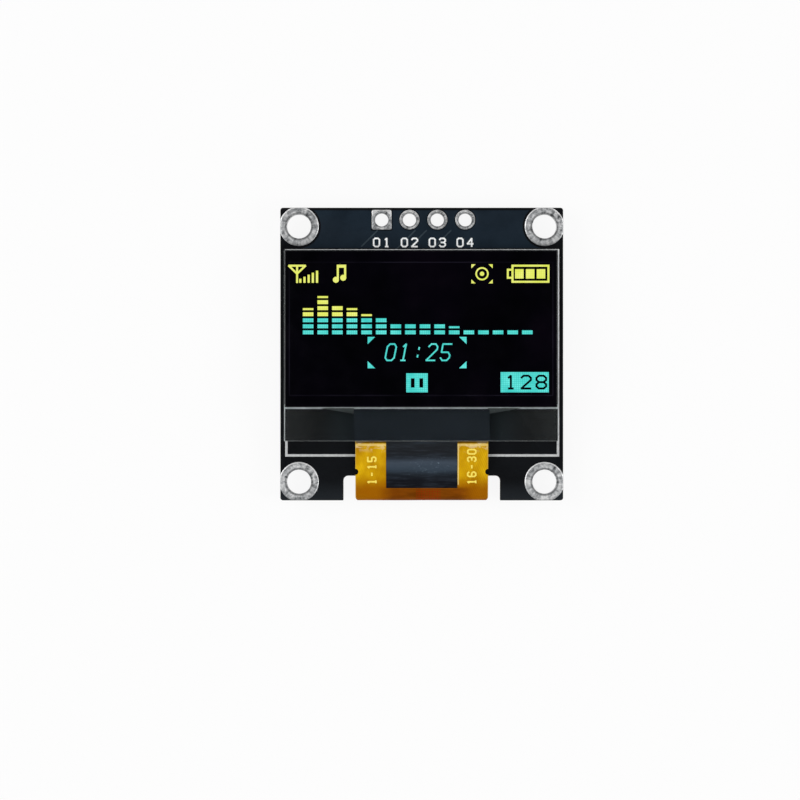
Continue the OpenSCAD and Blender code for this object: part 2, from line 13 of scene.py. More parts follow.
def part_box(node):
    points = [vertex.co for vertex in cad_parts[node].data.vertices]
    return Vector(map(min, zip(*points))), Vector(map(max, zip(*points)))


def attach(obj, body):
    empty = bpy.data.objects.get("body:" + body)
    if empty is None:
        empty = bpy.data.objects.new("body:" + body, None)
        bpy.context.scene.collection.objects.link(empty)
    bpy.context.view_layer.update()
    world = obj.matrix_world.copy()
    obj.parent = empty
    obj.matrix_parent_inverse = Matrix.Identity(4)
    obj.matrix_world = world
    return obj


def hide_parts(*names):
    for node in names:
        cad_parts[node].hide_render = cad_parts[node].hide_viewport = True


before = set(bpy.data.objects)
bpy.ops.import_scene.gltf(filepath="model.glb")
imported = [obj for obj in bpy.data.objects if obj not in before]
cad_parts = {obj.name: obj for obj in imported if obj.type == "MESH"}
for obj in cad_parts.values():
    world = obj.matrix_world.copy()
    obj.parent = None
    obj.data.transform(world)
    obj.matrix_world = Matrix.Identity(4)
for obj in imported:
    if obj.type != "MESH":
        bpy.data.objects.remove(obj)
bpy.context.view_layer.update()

MM = 0.001
ROOT = "root"


# ---- Sizes of the CAD model, in millimetres ----


def node_box(node):
    """A CAD node's lowest and highest corners."""
    return tuple(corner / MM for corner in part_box(node))


def centre(box):
    return (box[0] + box[1]) / 2


def numbered(start):
    """The names of the CAD nodes that begin with a word, in order."""
    return sorted(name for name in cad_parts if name.startswith(start))


BOARD = node_box("circuit_board")
GLASS = node_box("front_glass")
REAR = node_box("rear_glass")
FILM = node_box("polarizer")
SEAL = node_box("edge_seal")
FLEX = node_box("flex_cable")
COVER = node_box("flex_cover")
SOLDER = node_box("flex_solder")
BACK_Z, FACE_Z = BOARD[0].z, BOARD[1].z

# Radius of the board's corners, and width, depth and corner radius of its notch
BOARD_CORNER = 0.25
NOTCH_W = 14.3
NOTCH_D = 2.25
NOTCH_R = 0.45
# Radius of the corner rings, and of the mounting, header and small plated holes inside their plating
RING_R = 1.8
HOLE_R = 1.1
PIN_R = 0.6
VIA_R = 0.15
# Thickness of the plating and its tin
TIN = 0.05
# Thickness of the flex cable and its cover, half the neck's width, and the tight bend's radius
FLEX_T = 0.1
COVER_T = 0.05
FLEX_HALF = 6.05
BEND_R = 0.6
# Where the cable's wide end starts and stops along the board, and its pads
TAIL_START = -9.65
TAIL_END = -8.05
PAD_COUNT = 30
PAD_PITCH = 0.62
# The display's dots, across and down
DOTS = (128, 64)


# ---- Mesh building ----


def quarter(steps):
    """Angles that divide a quarter turn."""
    return [pi / 2 * k / steps for k in range(steps + 1)]


def circle(x, y, radius, count=64):
    """A clockwise loop of points round a centre, which makes a hole."""
    angles = [-2 * pi * i / count for i in range(count)]
    return [(x + radius * cos(a), y + radius * sin(a)) for a in angles]


def arc_round(x, y, radius, low, high, count=24):
    """Points on an arc between two angles in degrees."""
    angles = [radians(low + (high - low) * k / count) for k in range(count + 1)]
    return [(x + radius * cos(a), y + radius * sin(a)) for a in angles]


def rounded(corners, radii, steps=6):
    """A counter-clockwise loop through corners, each rounded by its own radius."""
    loop = []
    count = len(corners)
    for i, radius in enumerate(radii):
        here = Vector(corners[i])
        before = (Vector(corners[i - 1]) - here).normalized()
        after = (Vector(corners[(i + 1) % count]) - here).normalized()
        reach = radius / tan(before.angle(after) / 2)
        start, end = here + before * reach, here + after * reach
        middle = here + (before + after).normalized() * hypot(radius, reach)
        a0 = atan2(*(start - middle).yx)
        a1 = atan2(*(end - middle).yx)
        turn = (a1 - a0 + pi) % (2 * pi) - pi
        for k in range(steps + 1):
            a = a0 + turn * k / steps
            loop.append((middle.x + radius * cos(a), middle.y + radius * sin(a)))
    return loop


def rectangle(x0, y0, x1, y1, radius=0.0):
    """A counter-clockwise rectangle, with round corners where a radius is given."""
    corners = [(x0, y0), (x1, y0), (x1, y1), (x0, y1)]
    return rounded(corners, [radius] * 4, 4) if radius else corners


def footprint(low, high, radius=0.0):
    """A box's outline from above."""
    return rectangle(low.x, low.y, high.x, high.y, radius)


def inset(loop, distance):
    """A closed loop moved to its left, where its plate lies."""
    if not distance:
        return list(loop)
    moved = []
    for i, here in enumerate(loop):
        behind = (Vector(here) - Vector(loop[i - 1])).normalized()
        ahead = (Vector(loop[(i + 1) % len(loop)]) - Vector(here)).normalized()
        normals = Vector((-behind.y - ahead.y, behind.x + ahead.x))
        moved.append(tuple(Vector(here) + normals * distance / (1 + behind.dot(ahead))))
    return moved


def surface(shape, rows, closed=False, ring=False, material=0):
    """Adds a surface through rows of points. A row may close on itself, and the last row on the first."""
    made = [[shape.verts.new(point) for point in row] for row in rows]
    for lower, upper in zip(made, made[1:] + (made[:1] if ring else [])):
        for i in range(len(lower) if closed else len(lower) - 1):
            j = (i + 1) % len(lower)
            face = shape.faces.new((lower[i], lower[j], upper[j], upper[i]))
            face.material_index = material
            face.smooth = True
    return made


def closed_tube(shape, rows):
    """Adds a surface through closed rows of points, and a face over each end."""
    made = surface(shape, rows, closed=True)
    shape.faces.new(made[0])
    shape.faces.new(made[-1])


def edges(low, high, radius=0.0, steps=3):
    """A plate's side from its lower to its upper face, as pairs of a level and an inset."""
    if not radius:
        return [(low, 0.0), (high, 0.0)]
    arc = quarter(steps)
    below = [(low + radius * (1 - cos(a)), radius * (1 - sin(a))) for a in arc]
    above = [(high - radius * (1 - cos(a)), radius * (1 - sin(a))) for a in arc]
    return below + above[::-1]


def plate(shape, loops, side, face_material=0, side_material=0):
    """Adds a plate in the outline of loops: the first counter-clockwise, and clockwise ones for its holes."""
    walls = []
    for loop in loops:
        rows = [[(x, y, level) for x, y in inset(loop, step)] for level, step in side]
        walls.append(surface(shape, rows, closed=True, material=side_material))
    for row in (0, -1):
        verts = [vert for wall in walls for vert in wall[row]]
        flat = [[vert.co.copy() for vert in wall[row]] for wall in walls]
        for triangle in geometry.tessellate_polygon(flat):
            if len({verts[i] for i in triangle}) == 3:
                face = shape.faces.new([verts[i] for i in triangle])
                face.material_index = face_material


def block(shape, low, high, radius, corner, material=0, steps=3):
    """Adds a box with round edges, and corners of another radius from above."""
    outline = rectangle(low[0], low[1], high[0], high[1], corner)
    plate(shape, [outline], edges(low[2], high[2], radius, steps), material, material)


def add_object(name, shape, materials):
    """Puts a shape into the scene."""
    mesh = bpy.data.meshes.new(name)
    shape.to_mesh(mesh)
    shape.free()
    for material in materials:
        mesh.materials.append(material)
    made = bpy.data.objects.new(name, mesh)
    bpy.context.scene.collection.objects.link(made)
    return made


def add_piece(name, shape, materials, nodes=(), smooth=35):
    """Turns a shape in millimetres into a piece of the module that stands for CAD nodes."""
    bmesh.ops.transform(shape, matrix=Matrix.Scale(MM, 4), verts=shape.verts)
    bmesh.ops.recalc_face_normals(shape, faces=shape.faces)
    piece = add_object(name, shape, materials)
    piece.data.set_sharp_from_angle(angle=radians(smooth))
    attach(piece, ROOT)
    if nodes:
        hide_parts(*nodes)


def add_plate(name, loops, side, materials, nodes=(), smooth=35):
    """Adds a piece that is one plate. Where it has two materials, the second is on its side."""
    shape = bmesh.new()
    plate(shape, loops, side, 0, len(materials) - 1)
    add_piece(name, shape, materials, nodes, smooth)


# ---- Materials ----


def rgb(red, green, blue):
    """A colour on the screen's scale, up to 255, as Blender's linear one."""
    channels = [c / 255 for c in (red, green, blue)]
    return [c / 12.92 if c < 0.04045 else ((c + 0.055) / 1.055) ** 2.4 for c in channels] + [1.0]


def grey(level):
    return (level, level, level, 1)


def add_node(tree, kind, links=(), **settings):
    """Adds a shader node, sets its properties, and links or sets its inputs by number or name."""
    made = tree.nodes.new("ShaderNode" + kind)
    for key, value in settings.items():
        setattr(made, key, value)
    for socket, value in dict(links).items():
        if isinstance(value, bpy.types.NodeSocket):
            tree.links.new(value, made.inputs[socket])
        else:
            made.inputs[socket].default_value = value
    return made


def add_ramp(tree, value, stops):
    """Colours at stops along a value."""
    made = add_node(tree, "ValToRGB", {0: value})
    elements = made.color_ramp.elements
    for i, (position, colour) in enumerate(stops):
        element = elements[i] if i < 2 else elements.new(position)
        element.position, element.color = position, colour
    return made.outputs["Color"]


class Paint:
    """A node material round a Principled shader, whose base colour is laid on in coats."""

    def __init__(self, name, **sockets):
        self.material = bpy.data.materials.new(name)
        self.material.use_nodes = True
        self.tree = self.material.node_tree
        self.shader = self.tree.nodes["Principled BSDF"]
        self.base = None
        for socket, value in sockets.items():
            self.shader.inputs[socket.replace("_", " ")].default_value = value
        self.place = self.node("TexCoord").outputs["Object"]

    def node(self, kind, links=(), **settings):
        return add_node(self.tree, kind, links, **settings)

    def noise(self, size, detail=3.0, stretch=(1, 1, 1), roughness=0.55, distortion=0.0):
        """Noise whose features are about a size in millimetres, longer along the stretched axes."""
        scale = [1 / (s * size * MM) for s in stretch]
        spot = self.node("Mapping", {"Vector": self.place, "Scale": scale}).outputs[0]
        links = {"Vector": spot, "Scale": 1.0, "Detail": detail, "Roughness": roughness,
                 "Distortion": distortion}
        return self.node("TexNoise", links).outputs["Fac"]

    def axis(self, letter):
        """A coordinate in metres."""
        return self.node("SeparateXYZ", {0: self.place}).outputs[letter]

    def value(self, place):
        """A value in metres, which may be given as an axis."""
        return self.axis(place) if isinstance(place, str) else place

    def aside(self):
        """The distance from the board's middle line in metres."""
        return self.math("ABSOLUTE", self.axis("X"))

    def spread(self, value, low, high, to=(0.0, 1.0), smooth=True):
        """Maps a value from one range to another, and holds it at the ends."""
        kind = "SMOOTHSTEP" if smooth else "LINEAR"
        links = {"Value": value, "From Min": low, "From Max": high, "To Min": to[0], "To Max": to[1]}
        return self.node("MapRange", links, interpolation_type=kind).outputs["Result"]

    def slope(self, place, start, end, to=(0.0, 1.0), smooth=True):
        """Changes between two places in millimetres, along an axis or a value in metres."""
        return self.spread(self.value(place), start * MM, end * MM, to, smooth)

    def band(self, letter, low, high, soft):
        """One between two coordinates in millimetres, and zero outside them."""
        value = self.axis(letter)
        rise = self.slope(value, low - soft, low + soft)
        return self.times(rise, self.slope(value, high - soft, high + soft, (1.0, 0.0)))

    def front(self):
        """One on the front of the board and above it, and zero on its back and below."""
        return self.slope("Z", BACK_Z + 0.3, BACK_Z + 0.7)

    def stripes(self, place, pitch, low, high):
        """Lines across an axis or a value: one at the ends of each pitch in millimetres, and zero between."""
        share = self.math("FRACT", self.math("DIVIDE", self.value(place), pitch * MM))
        return self.spread(self.math("ABSOLUTE", self.math("SUBTRACT", share, 0.5)), low, high)

    def math(self, operation, *values):
        return self.node("Math", dict(enumerate(values)), operation=operation).outputs[0]

    def times(self, first, *others):
        """The product of values."""
        for other in others:
            first = self.math("MULTIPLY", first, other)
        return first

    def blend(self, first, second, share):
        """Two values added up, where the first has a share and the second the rest."""
        return self.math("ADD", self.times(first, share), self.times(second, 1 - share))

    def mix(self, factor, first, second, kind="MIX"):
        """Mixes two colours, of which either may be a socket."""
        links = {0: factor, 6: first, 7: second}
        return self.node("Mix", links, data_type="RGBA", blend_type=kind, clamp_factor=True).outputs[2]

    def ramp(self, value, *stops):
        return add_ramp(self.tree, value, stops)

    def coat(self, colour, *shares):
        """Lays a colour over the base colour, as opaque as the product of its shares."""
        self.base = self.mix(self.times(*shares), self.base, colour)

    def connect(self, source, socket):
        self.tree.links.new(source, self.shader.inputs[socket])

    def finish(self, pattern, low, high, height=None, depth=0.0):
        """Ends the material: gloss that follows a pattern, and relief with a depth in millimetres."""
        if self.base:
            self.connect(self.base, "Base Color")
        self.connect(self.spread(pattern, 0.3, 0.7, (low, high)), "Roughness")
        if height:
            bump = self.node("Bump", {"Height": height, "Distance": depth * MM, "Strength": 1.0})
            self.connect(bump.outputs[0], "Normal")
        return self.material


def plain_paint(name, dark, light, size, low, high, depth=0.0, stretch=(1, 1, 1), **sockets):
    """A material with a fine grain in its colour, gloss and relief."""
    paint = Paint(name, **sockets)
    grain = paint.noise(size, 4.0, stretch)
    paint.base = paint.ramp(grain, (0.32, dark), (0.68, light))
    return paint.finish(grain, low, high, grain if depth else None, depth)


def mask_paint(name, dark, light):
    """Solder mask: satin black varnish that is finely pebbled and slightly uneven in colour."""
    paint = Paint(name, Specular_IOR_Level=0.07)
    fine = paint.noise(0.12, 2.0)
    paint.base = paint.ramp(paint.blend(paint.noise(3.0, 3.0), fine, 0.8), (0.35, dark), (0.65, light))
    # Paler towards the edge that the cable bends round
    paint.coat(rgb(42, 47, 52), paint.slope("Y", BOARD[0].y + 2.2, BOARD[0].y, (0.0, 0.5)))
    # Paler under the glass ledge, next to the cable: painted light that lifts the shade the ledge casts there
    ledge = paint.band("Y", GLASS[0].y, REAR[0].y, 0.05)
    paint.coat(rgb(36, 42, 47), ledge, paint.slope(paint.aside(), 9.6, 6.3), paint.front())
    return paint.finish(fine, 0.42, 0.55, fine, 0.002)


def laminate_paint():
    """The board's cut edge: thin layers of glass cloth in resin, with loose fibres."""
    paint = Paint("laminate_edge")
    fibres = paint.noise(0.04, 2.0, (1, 1, 3))
    tone = paint.blend(paint.noise(0.07, 2.0, (16, 16, 1)), fibres, 0.6)
    paint.base = paint.ramp(tone, (0.35, rgb(30, 30, 27)), (0.5, rgb(50, 49, 41)), (0.66, rgb(76, 73, 60)))
    return paint.finish(fibres, 0.65, 0.85, tone, 0.008)


def tin_paint(name, dark, light, size, low, high, depth):
    """Molten and set tin, mottled, with duller and brighter grains."""
    paint = Paint(name, Metallic=0.82)
    grain = paint.noise(size, 4.0, distortion=0.4)
    tone = paint.blend(grain, paint.noise(size * 0.3, 2.0), 0.6)
    paint.base = paint.ramp(tone, (0.3, dark), (0.62, light))
    return paint.finish(grain, low, high, tone, depth)


def ring_paint(name, x, y, hole, pad):
    """Tin round a hole, with grains and radial streaks, a painted highlight at its rim and a line of painted
    shade near the hole.
    """
    paint = Paint(name, Metallic=0.6)

    def vector(operation, links, output=0):
        return paint.node("VectorMath", links, operation=operation).outputs[output]

    offset = vector("SUBTRACT", {0: paint.place, 1: (x * MM, y * MM, 0)})
    level = vector("MULTIPLY", {0: offset, 1: (1, 1, 0)})
    heading = vector("NORMALIZE", {0: level})
    round_about = vector("SCALE", {0: heading, "Scale": 4.5})
    links = {"Vector": round_about, "Scale": 1.0, "Detail": 4.0, "Roughness": 0.6}
    streaks = paint.node("TexNoise", links).outputs["Fac"]
    grain = paint.noise(0.4, 4.0, distortion=0.6)
    tone = paint.blend(grain, streaks, 0.55)
    metal = paint.ramp(tone, (0.36, rgb(104, 108, 110)), (0.49, rgb(212, 214, 216)), (0.6, grey(1.0)))
    # The line of painted shade starts and ends at a share of the way from the hole to the pad's edge
    share = paint.slope(vector("LENGTH", {0: level}, "Value"), hole, pad, smooth=False)
    start = 0.05 / (pad - hole)
    end = 0.07 / (pad - hole) + 0.1
    stops = ((0.0, 0.95), (start, 0.3), (end, 0.42), (end + 0.16, 0.95), (0.8, 0.7), (0.93, 1.0))
    painted_shade_dips = paint.ramp(share, *[(position, grey(level)) for position, level in stops])
    paint.base = paint.mix(1.0, metal, painted_shade_dips, "MULTIPLY")
    # Painted highlight on the side of the rim that faces up the board, and painted shade on the other side
    rim = paint.spread(share, 0.78, 0.92)
    facing = paint.node("SeparateXYZ", {0: heading}).outputs["Y"]
    paint.coat(grey(1.0), rim, paint.spread(facing, -0.4, 0.8, (0.0, 0.95)))
    paint.coat(rgb(84, 86, 88), rim, paint.spread(facing, -0.2, -0.9, (0.0, 0.6)))
    # Painted shade makes the plating inside the hole darker
    paint.coat(rgb(70, 72, 74), paint.band("Z", BACK_Z + 0.12, FACE_Z - 0.12, 0.1), 0.8)
    return paint.finish(grain, 0.3, 0.48, tone, 0.008)


def ink_paint(name, dark, light, lower):
    """Printed ink, slightly thin in places, mixed with a second colour towards the board's lower edge."""
    paint = Paint(name, Specular_IOR_Level=0.3)
    thin = paint.noise(0.25, 4.0)
    paint.base = paint.ramp(thin, (0.3, dark), (0.55, light))
    paint.coat(lower, paint.slope("Y", 2.0, -9.0, (0.0, 0.5)))
    return paint.finish(thin, 0.5, 0.7, paint.noise(0.06, 2.0), 0.004)


def glass_paint(name, transmission, pattern, dark, light, low, high):
    """Display glass that lets the lamps through to what lies behind it, with an uneven face."""
    paint = Paint(name, Transmission_Weight=transmission, IOR=1.5)
    smear = paint.noise(*pattern)
    paint.base = paint.ramp(smear, (0.3, dark), (0.7, light))
    paint.finish(smear, low, high)
    shadow = paint.node("LightPath").outputs["Is Shadow Ray"]
    clear = paint.node("BsdfTransparent", {"Color": (0.86, 0.88, 0.88, 1)}).outputs[0]
    mixed = paint.node("MixShader", {0: shadow, 1: paint.shader.outputs[0], 2: clear})
    paint.tree.links.new(mixed.outputs[0], paint.tree.nodes["Material Output"].inputs["Surface"])
    return paint.material


def film_paint():
    """Black polarizing film: glossy, near black, with the lit area's faint border behind it."""
    paint = Paint("polarizing_film", Specular_IOR_Level=0.3)
    middle = centre(FILM)
    half = (FILM[1] - FILM[0]) / 2 - Vector((0.45, 1.12, 0))

    def inside(margin):
        """One in the lit area and a margin round it."""
        return paint.times(*[paint.band(letter, spot - reach - margin, spot + reach + margin, 0.03)
                             for letter, spot, reach in zip("XY", middle, half)])

    border = paint.math("SUBTRACT", inside(0.1), inside(0.0))
    cloud = paint.noise(6.0, 3.0)
    paint.base = paint.ramp(cloud, (0.35, rgb(1, 1, 3)), (0.55, rgb(3, 2, 7)), (0.7, rgb(6, 3, 10)))
    paint.coat(rgb(26, 24, 34), border, paint.spread(paint.noise(5.0, 2.0), 0.35, 0.65, (0.15, 0.75)))
    return paint.finish(paint.noise(1.5, 3.0), 0.06, 0.12)


def cut_film_paint():
    """The film's cut edge, paler than its face."""
    paint = Paint("film_edge")
    grain = paint.noise(0.15, 3.0, (4, 4, 1))
    paint.base = paint.ramp(grain, (0.3, rgb(48, 49, 52)), (0.7, rgb(84, 86, 88)))
    return paint.finish(grain, 0.3, 0.5)


def lit_paint(name, colour, pale):
    """Glowing dots on the display's grid, with thin darker gaps between them and slight unevenness."""
    paint = Paint(name, Specular_IOR_Level=0.2, Base_Color=rgb(6, 6, 8), Emission_Strength=1.0)
    gap = 0.13
    # The picture's margins on the rear glass: left and top, and both sides and both ends together
    left, top, sides, ends = 0.24, 1.28, 0.63, 2.61
    panel = REAR[1] - REAR[0]
    lines = []
    for letter, size, start in (("X", (panel.x - sides) / DOTS[0], REAR[0].x + left),
                                ("Y", (panel.y - ends) / DOTS[1], REAR[1].y - top)):
        offset = paint.math("SUBTRACT", paint.axis(letter), start * MM)
        lines.append(paint.stripes(offset, size, 0.5 - gap, 0.5 - gap / 2))
    uneven = paint.noise(1.2, 3.0)
    glow = paint.ramp(uneven, (0.3, colour), (0.7, pale))
    dim = [c * 0.93 for c in colour[:3]] + [1.0]
    paint.connect(paint.mix(paint.math("MAXIMUM", *lines), glow, dim), "Emission Color")
    return paint.finish(uneven, 0.1, 0.2)


def trace_paint():
    """Fine parallel metal traces with dark gaps, and a painted highlight towards the film's edge."""
    paint = Paint("metal_traces", Metallic=0.5)
    # Brighter towards the film's edge: painted highlight
    glint_near_film = paint.slope("Y", GLASS[0].y + 2.4, GLASS[0].y + 3.05)
    paint.base = paint.mix(glint_near_film, rgb(70, 73, 74), rgb(104, 107, 108))
    paint.coat(rgb(34, 37, 40), paint.stripes("X", 0.09, 0.2, 0.36), 0.4)
    return paint.finish(paint.noise(0.3), 0.35, 0.55)


def polyimide_paint():
    """Amber flex cable with copper traces in it, redder at the tight bend from its copper and painted shade,
    and crumpled next to the glass, with painted glints and a painted shadow there.
    """
    paint = Paint("polyimide_film", Specular_IOR_Level=0.03)
    bend, glass_y = FLEX[0].y, GLASS[0].y
    front = paint.front()
    blotch = paint.noise(1.5, 4.0, (0.8, 1.6, 1))
    paint.base = paint.ramp(blotch, (0.3, rgb(184, 130, 0)), (0.5, rgb(206, 156, 4)),
                            (0.72, rgb(228, 182, 14)))
    # Painted shade darkens the cable towards the tight bend, where it turns steeply away
    paint.coat(rgb(154, 84, 0), paint.slope("Y", bend + 2.7, bend + 0.9), 0.88)
    # Copper fills the middle of the bend, and leaves both ends amber
    copper = paint.ramp(paint.noise(0.5, 3.0, (4, 1, 1)), (0.3, rgb(94, 42, 2)), (0.7, rgb(132, 66, 6)))
    paint.coat(copper, paint.band("X", -3.4, 4.2, 0.9), paint.slope("Y", bend + 1.35, bend + 0.95), 0.85)
    # Fine traces fan out along the cable, and show more on its right
    slanted = paint.math("ADD", paint.axis("X"), paint.times(paint.axis("Y"), 0.45))
    paint.coat(rgb(120, 66, 0), paint.stripes(slanted, 0.2, 0.22, 0.42),
               paint.slope("X", 3.6, 4.6, (0.05, 0.17)))
    # A patch where two layers of traces cross
    weave = paint.math("MAXIMUM", paint.stripes("X", 0.24, 0.24, 0.42), paint.stripes("Y", 0.22, 0.24, 0.42))
    paint.coat(rgb(140, 46, 4), paint.band("X", -0.5, 1.7, 0.12), paint.slope("Y", bend + 1.15, bend + 0.95),
               weave, 0.75)
    # Pale creases next to the glass, in the strips at both sides: painted glints on the crumpled film
    sides = paint.times(front, paint.math("SUBTRACT", 1.0, paint.band("X", -3.2, 3.2, 0.2)))
    crease_glint = paint.spread(paint.noise(0.55, 4.0, (1.2, 0.8, 1), 0.5, 0.8), 0.47, 0.6)
    paint.coat(rgb(232, 208, 160), crease_glint, paint.slope("Y", glass_y - 1.15, glass_y - 0.25), sides, 0.8)
    # A pale fold line, painted highlight, and between it and the edge of the glass a painted shadow of that
    # edge
    paint.coat(rgb(246, 222, 140), paint.band("Y", glass_y - 0.44, glass_y - 0.26, 0.05), sides, 0.6)
    paint.coat(rgb(50, 32, 10), paint.slope("Y", glass_y - 0.25, glass_y - 0.14), front, 0.85)
    # A pale line beside the cover's right edge
    paint.coat(rgb(250, 228, 150), paint.band("X", COVER[1].x + 0.02, COVER[1].x + 0.12, 0.03),
               paint.band("Y", COVER[0].y + 0.3, glass_y - 0.25, 0.1), front, 0.7)
    # The neck's cut edges are paler
    edge = paint.slope(paint.aside(), FLEX_HALF - 0.1, FLEX_HALF - 0.02)
    paint.coat(rgb(236, 200, 96), edge, front, 0.45)
    return paint.finish(blotch, 0.24, 0.4, paint.noise(0.35, 3.0), 0.006)


def cover_paint():
    """Blue-black film with long scuffs across it, a few pale flecks on its bow, and soft bands of painted
    reflection and painted shade along it.
    """
    paint = Paint("cover_film", Specular_IOR_Level=0.12)
    scuff = paint.noise(0.22, 4.0, (9, 1, 1), 0.6)
    drift = paint.times(paint.math("SUBTRACT", paint.noise(1.4, 3.0, (3, 1, 1)), 0.5), 0.4 * MM)
    depth = paint.math("SUBTRACT", GLASS[0].y * MM, paint.math("ADD", paint.axis("Y"), drift))
    share = paint.slope(depth, 0.0, COVER[1].y - COVER[0].y, smooth=False)
    # Soft bands down the bow: a painted reflection band in the middle, and painted shade darker towards the
    # bend
    paint.base = paint.ramp(share, (0.0, rgb(30, 34, 38)), (0.22, rgb(21, 24, 29)), (0.34, rgb(22, 28, 36)),
                            (0.45, rgb(58, 69, 82)), (0.59, rgb(48, 61, 74)), (0.72, rgb(22, 29, 37)),
                            (0.85, rgb(12, 14, 22)), (1.0, rgb(12, 14, 20)))
    paint.coat(rgb(72, 84, 98), paint.spread(scuff, 0.42, 0.75, (0.0, 0.22)))
    flecks = paint.noise(0.17, 5.0, (1.5, 1, 1), 0.7, 1.2)
    paint.coat(rgb(128, 148, 162), paint.spread(flecks, 0.6, 0.68), paint.band("X", -1.3, 2.6, 0.5),
               paint.band("Y", GLASS[0].y - 2.9, GLASS[0].y - 1.6, 0.4), 0.75)
    return paint.finish(scuff, 0.3, 0.45, paint.blend(scuff, flecks, 0.6), 0.006)


mask = mask_paint("solder_mask", rgb(7, 9, 12), rgb(13, 16, 20))
mask_on_copper = mask_paint("solder_mask_on_copper", rgb(20, 31, 41), rgb(28, 40, 51))
mask_on_trace = mask_paint("solder_mask_on_trace", rgb(44, 54, 62), rgb(58, 70, 78))
laminate = laminate_paint()
white_ink = ink_paint("white_ink", rgb(222, 225, 226), rgb(254, 255, 255), rgb(90, 92, 94))
cable_ink = ink_paint("pale_ink", rgb(234, 200, 66), rgb(255, 236, 100), rgb(255, 232, 92))
tin = tin_paint("hot_tin", rgb(120, 122, 124), rgb(226, 228, 230), 0.3, 0.26, 0.5, 0.02)
solder = tin_paint("bright_solder", rgb(150, 152, 155), rgb(226, 228, 231), 0.35, 0.16, 0.34, 0.01)
end_metal = tin_paint("end_metal", rgb(150, 150, 150), rgb(206, 206, 206), 0.12, 0.3, 0.5, 0.006)
# The glass's faces have faint smears, and its cut edge is frosted
glass = glass_paint("clear_glass", 1.0, (2.5, 4.0, (3, 1, 1)), (0.78, 0.84, 0.83, 1), (0.86, 0.91, 0.9, 1),
                    0.01, 0.05)
ground_glass = glass_paint("ground_glass", 0.75, (0.1, 3.0), (0.6, 0.66, 0.66, 1), (0.84, 0.89, 0.88, 1),
                           0.35, 0.55)
film = film_paint()
film_edge = cut_film_paint()
lit_yellow = lit_paint("lit_yellow", rgb(226, 236, 92), rgb(248, 248, 146))
lit_blue = lit_paint("lit_blue", rgb(64, 206, 198), rgb(112, 240, 230))
tape = plain_paint("foam_tape", rgb(22, 22, 24), rgb(44, 44, 46), 0.12, 0.85, 0.98, 0.02)
# One seal in two colours: pale along the ledge, a painted highlight for the bright line at the film's lower
# edge, and dark round the other sides
seal = plain_paint("cured_seal", rgb(196, 199, 201), rgb(238, 240, 242), 0.3, 0.25, 0.4, 0.0, (4, 4, 1))
dark_seal = plain_paint("seal_on_black", rgb(10, 10, 12), rgb(22, 22, 25), 0.3, 0.3, 0.5, 0.0, (4, 4, 1))
drying = plain_paint("drying_film", rgb(168, 170, 172), rgb(196, 198, 200), 0.4, 0.6, 0.8, 0.004)
emitter = plain_paint("emitter_film", rgb(12, 10, 16), rgb(26, 22, 32), 1.2, 0.2, 0.35)
silicon = plain_paint("silicon", rgb(46, 50, 56), rgb(64, 70, 78), 0.5, 0.12, 0.2)
sealant = plain_paint("black_sealant", rgb(26, 29, 33), rgb(40, 44, 49), 0.6, 0.4, 0.6, 0.02)
ledge_print = plain_paint("ledge_print", rgb(32, 37, 44), rgb(39, 44, 52), 2.0, 0.5, 0.6, 0.0, (4, 1, 1),
                          Specular_IOR_Level=0.1)
metal_traces = trace_paint()
polyimide = polyimide_paint()
cover_film = cover_paint()
moulding = plain_paint("moulded_epoxy", rgb(24, 24, 26), rgb(38, 38, 41), 0.07, 0.55, 0.75, 0.008)
ceramic = plain_paint("tan_ceramic", rgb(128, 98, 72), rgb(158, 124, 94), 0.1, 0.45, 0.65, 0.004)
alumina = plain_paint("white_alumina", rgb(206, 204, 198), rgb(228, 226, 220), 0.08, 0.6, 0.8, 0.004)
glaze = plain_paint("black_glaze", rgb(14, 14, 16), rgb(30, 30, 33), 0.25, 0.12, 0.3, 0.006)


# ---- Circuit board ----


def mount_centres():
    """The mounting holes' centres, from their rings' inner sides: the board's edges cut the outer ones."""
    places = []
    for node in numbered("mount_eyelet_"):
        low, high = node_box(node)
        x = high.x - RING_R if low.x < 0 else low.x + RING_R
        y = high.y - RING_R if low.y < 0 else low.y + RING_R
        places.append((x, y))
    return places


def via_centres():
    """The small plated holes' centres, from the middle of each loose part of their CAD mesh."""
    groups = []
    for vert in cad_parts["vias"].data.vertices:
        spot = vert.co.xy / MM
        near = next((group for group in groups if (group[0] - spot).length < 1.0), None)
        if near:
            near.append(spot)
        else:
            groups.append([spot])
    return [tuple((min(values) + max(values)) / 2 for values in zip(*group)) for group in groups]


MOUNTS = mount_centres()
PINS = [tuple(centre(node_box(node)).xy) for node in numbered("header_eyelet_")]
VIAS = via_centres()


def board_outline():
    """The board's edge with its notch."""
    left, bottom = BOARD[0].xy
    right, top = BOARD[1].xy
    half = NOTCH_W / 2
    notch_top = bottom + NOTCH_D
    # The notch's outer corners are nearly sharp
    sharp = 0.06
    corners = [(left, bottom), (-half, bottom), (-half, notch_top), (half, notch_top), (half, bottom),
               (right, bottom), (right, top), (left, top)]
    return rounded(corners, [BOARD_CORNER, sharp, NOTCH_R, NOTCH_R, sharp] + [BOARD_CORNER] * 3)


def via_holes(gap=0.0):
    return [circle(x, y, VIA_R + TIN + gap, 24) for x, y in VIAS]


def build_board():
    holes = [circle(x, y, HOLE_R + TIN, 96) for x, y in MOUNTS] + [circle(x, y, PIN_R + TIN) for x, y in PINS]
    add_plate("board", [board_outline()] + holes + via_holes(), edges(BACK_Z, FACE_Z, 0.03, 2),
              [mask, laminate], ["circuit_board"])


def header_comb(top, gap):
    """The way along a copper area's top edge from right to left, with a slot round each header pad."""
    way = []
    for x, y in PINS[:0:-1]:
        turn = degrees(asin((top - y) / gap))
        way += arc_round(x, y, gap, turn, -180 - turn, 16)
    # The first pad is square, and so is its slot
    x, y = PINS[0]
    return way + [(x + gap, top), (x + gap, y - gap), (x - gap, y - gap), (x - gap, top)]


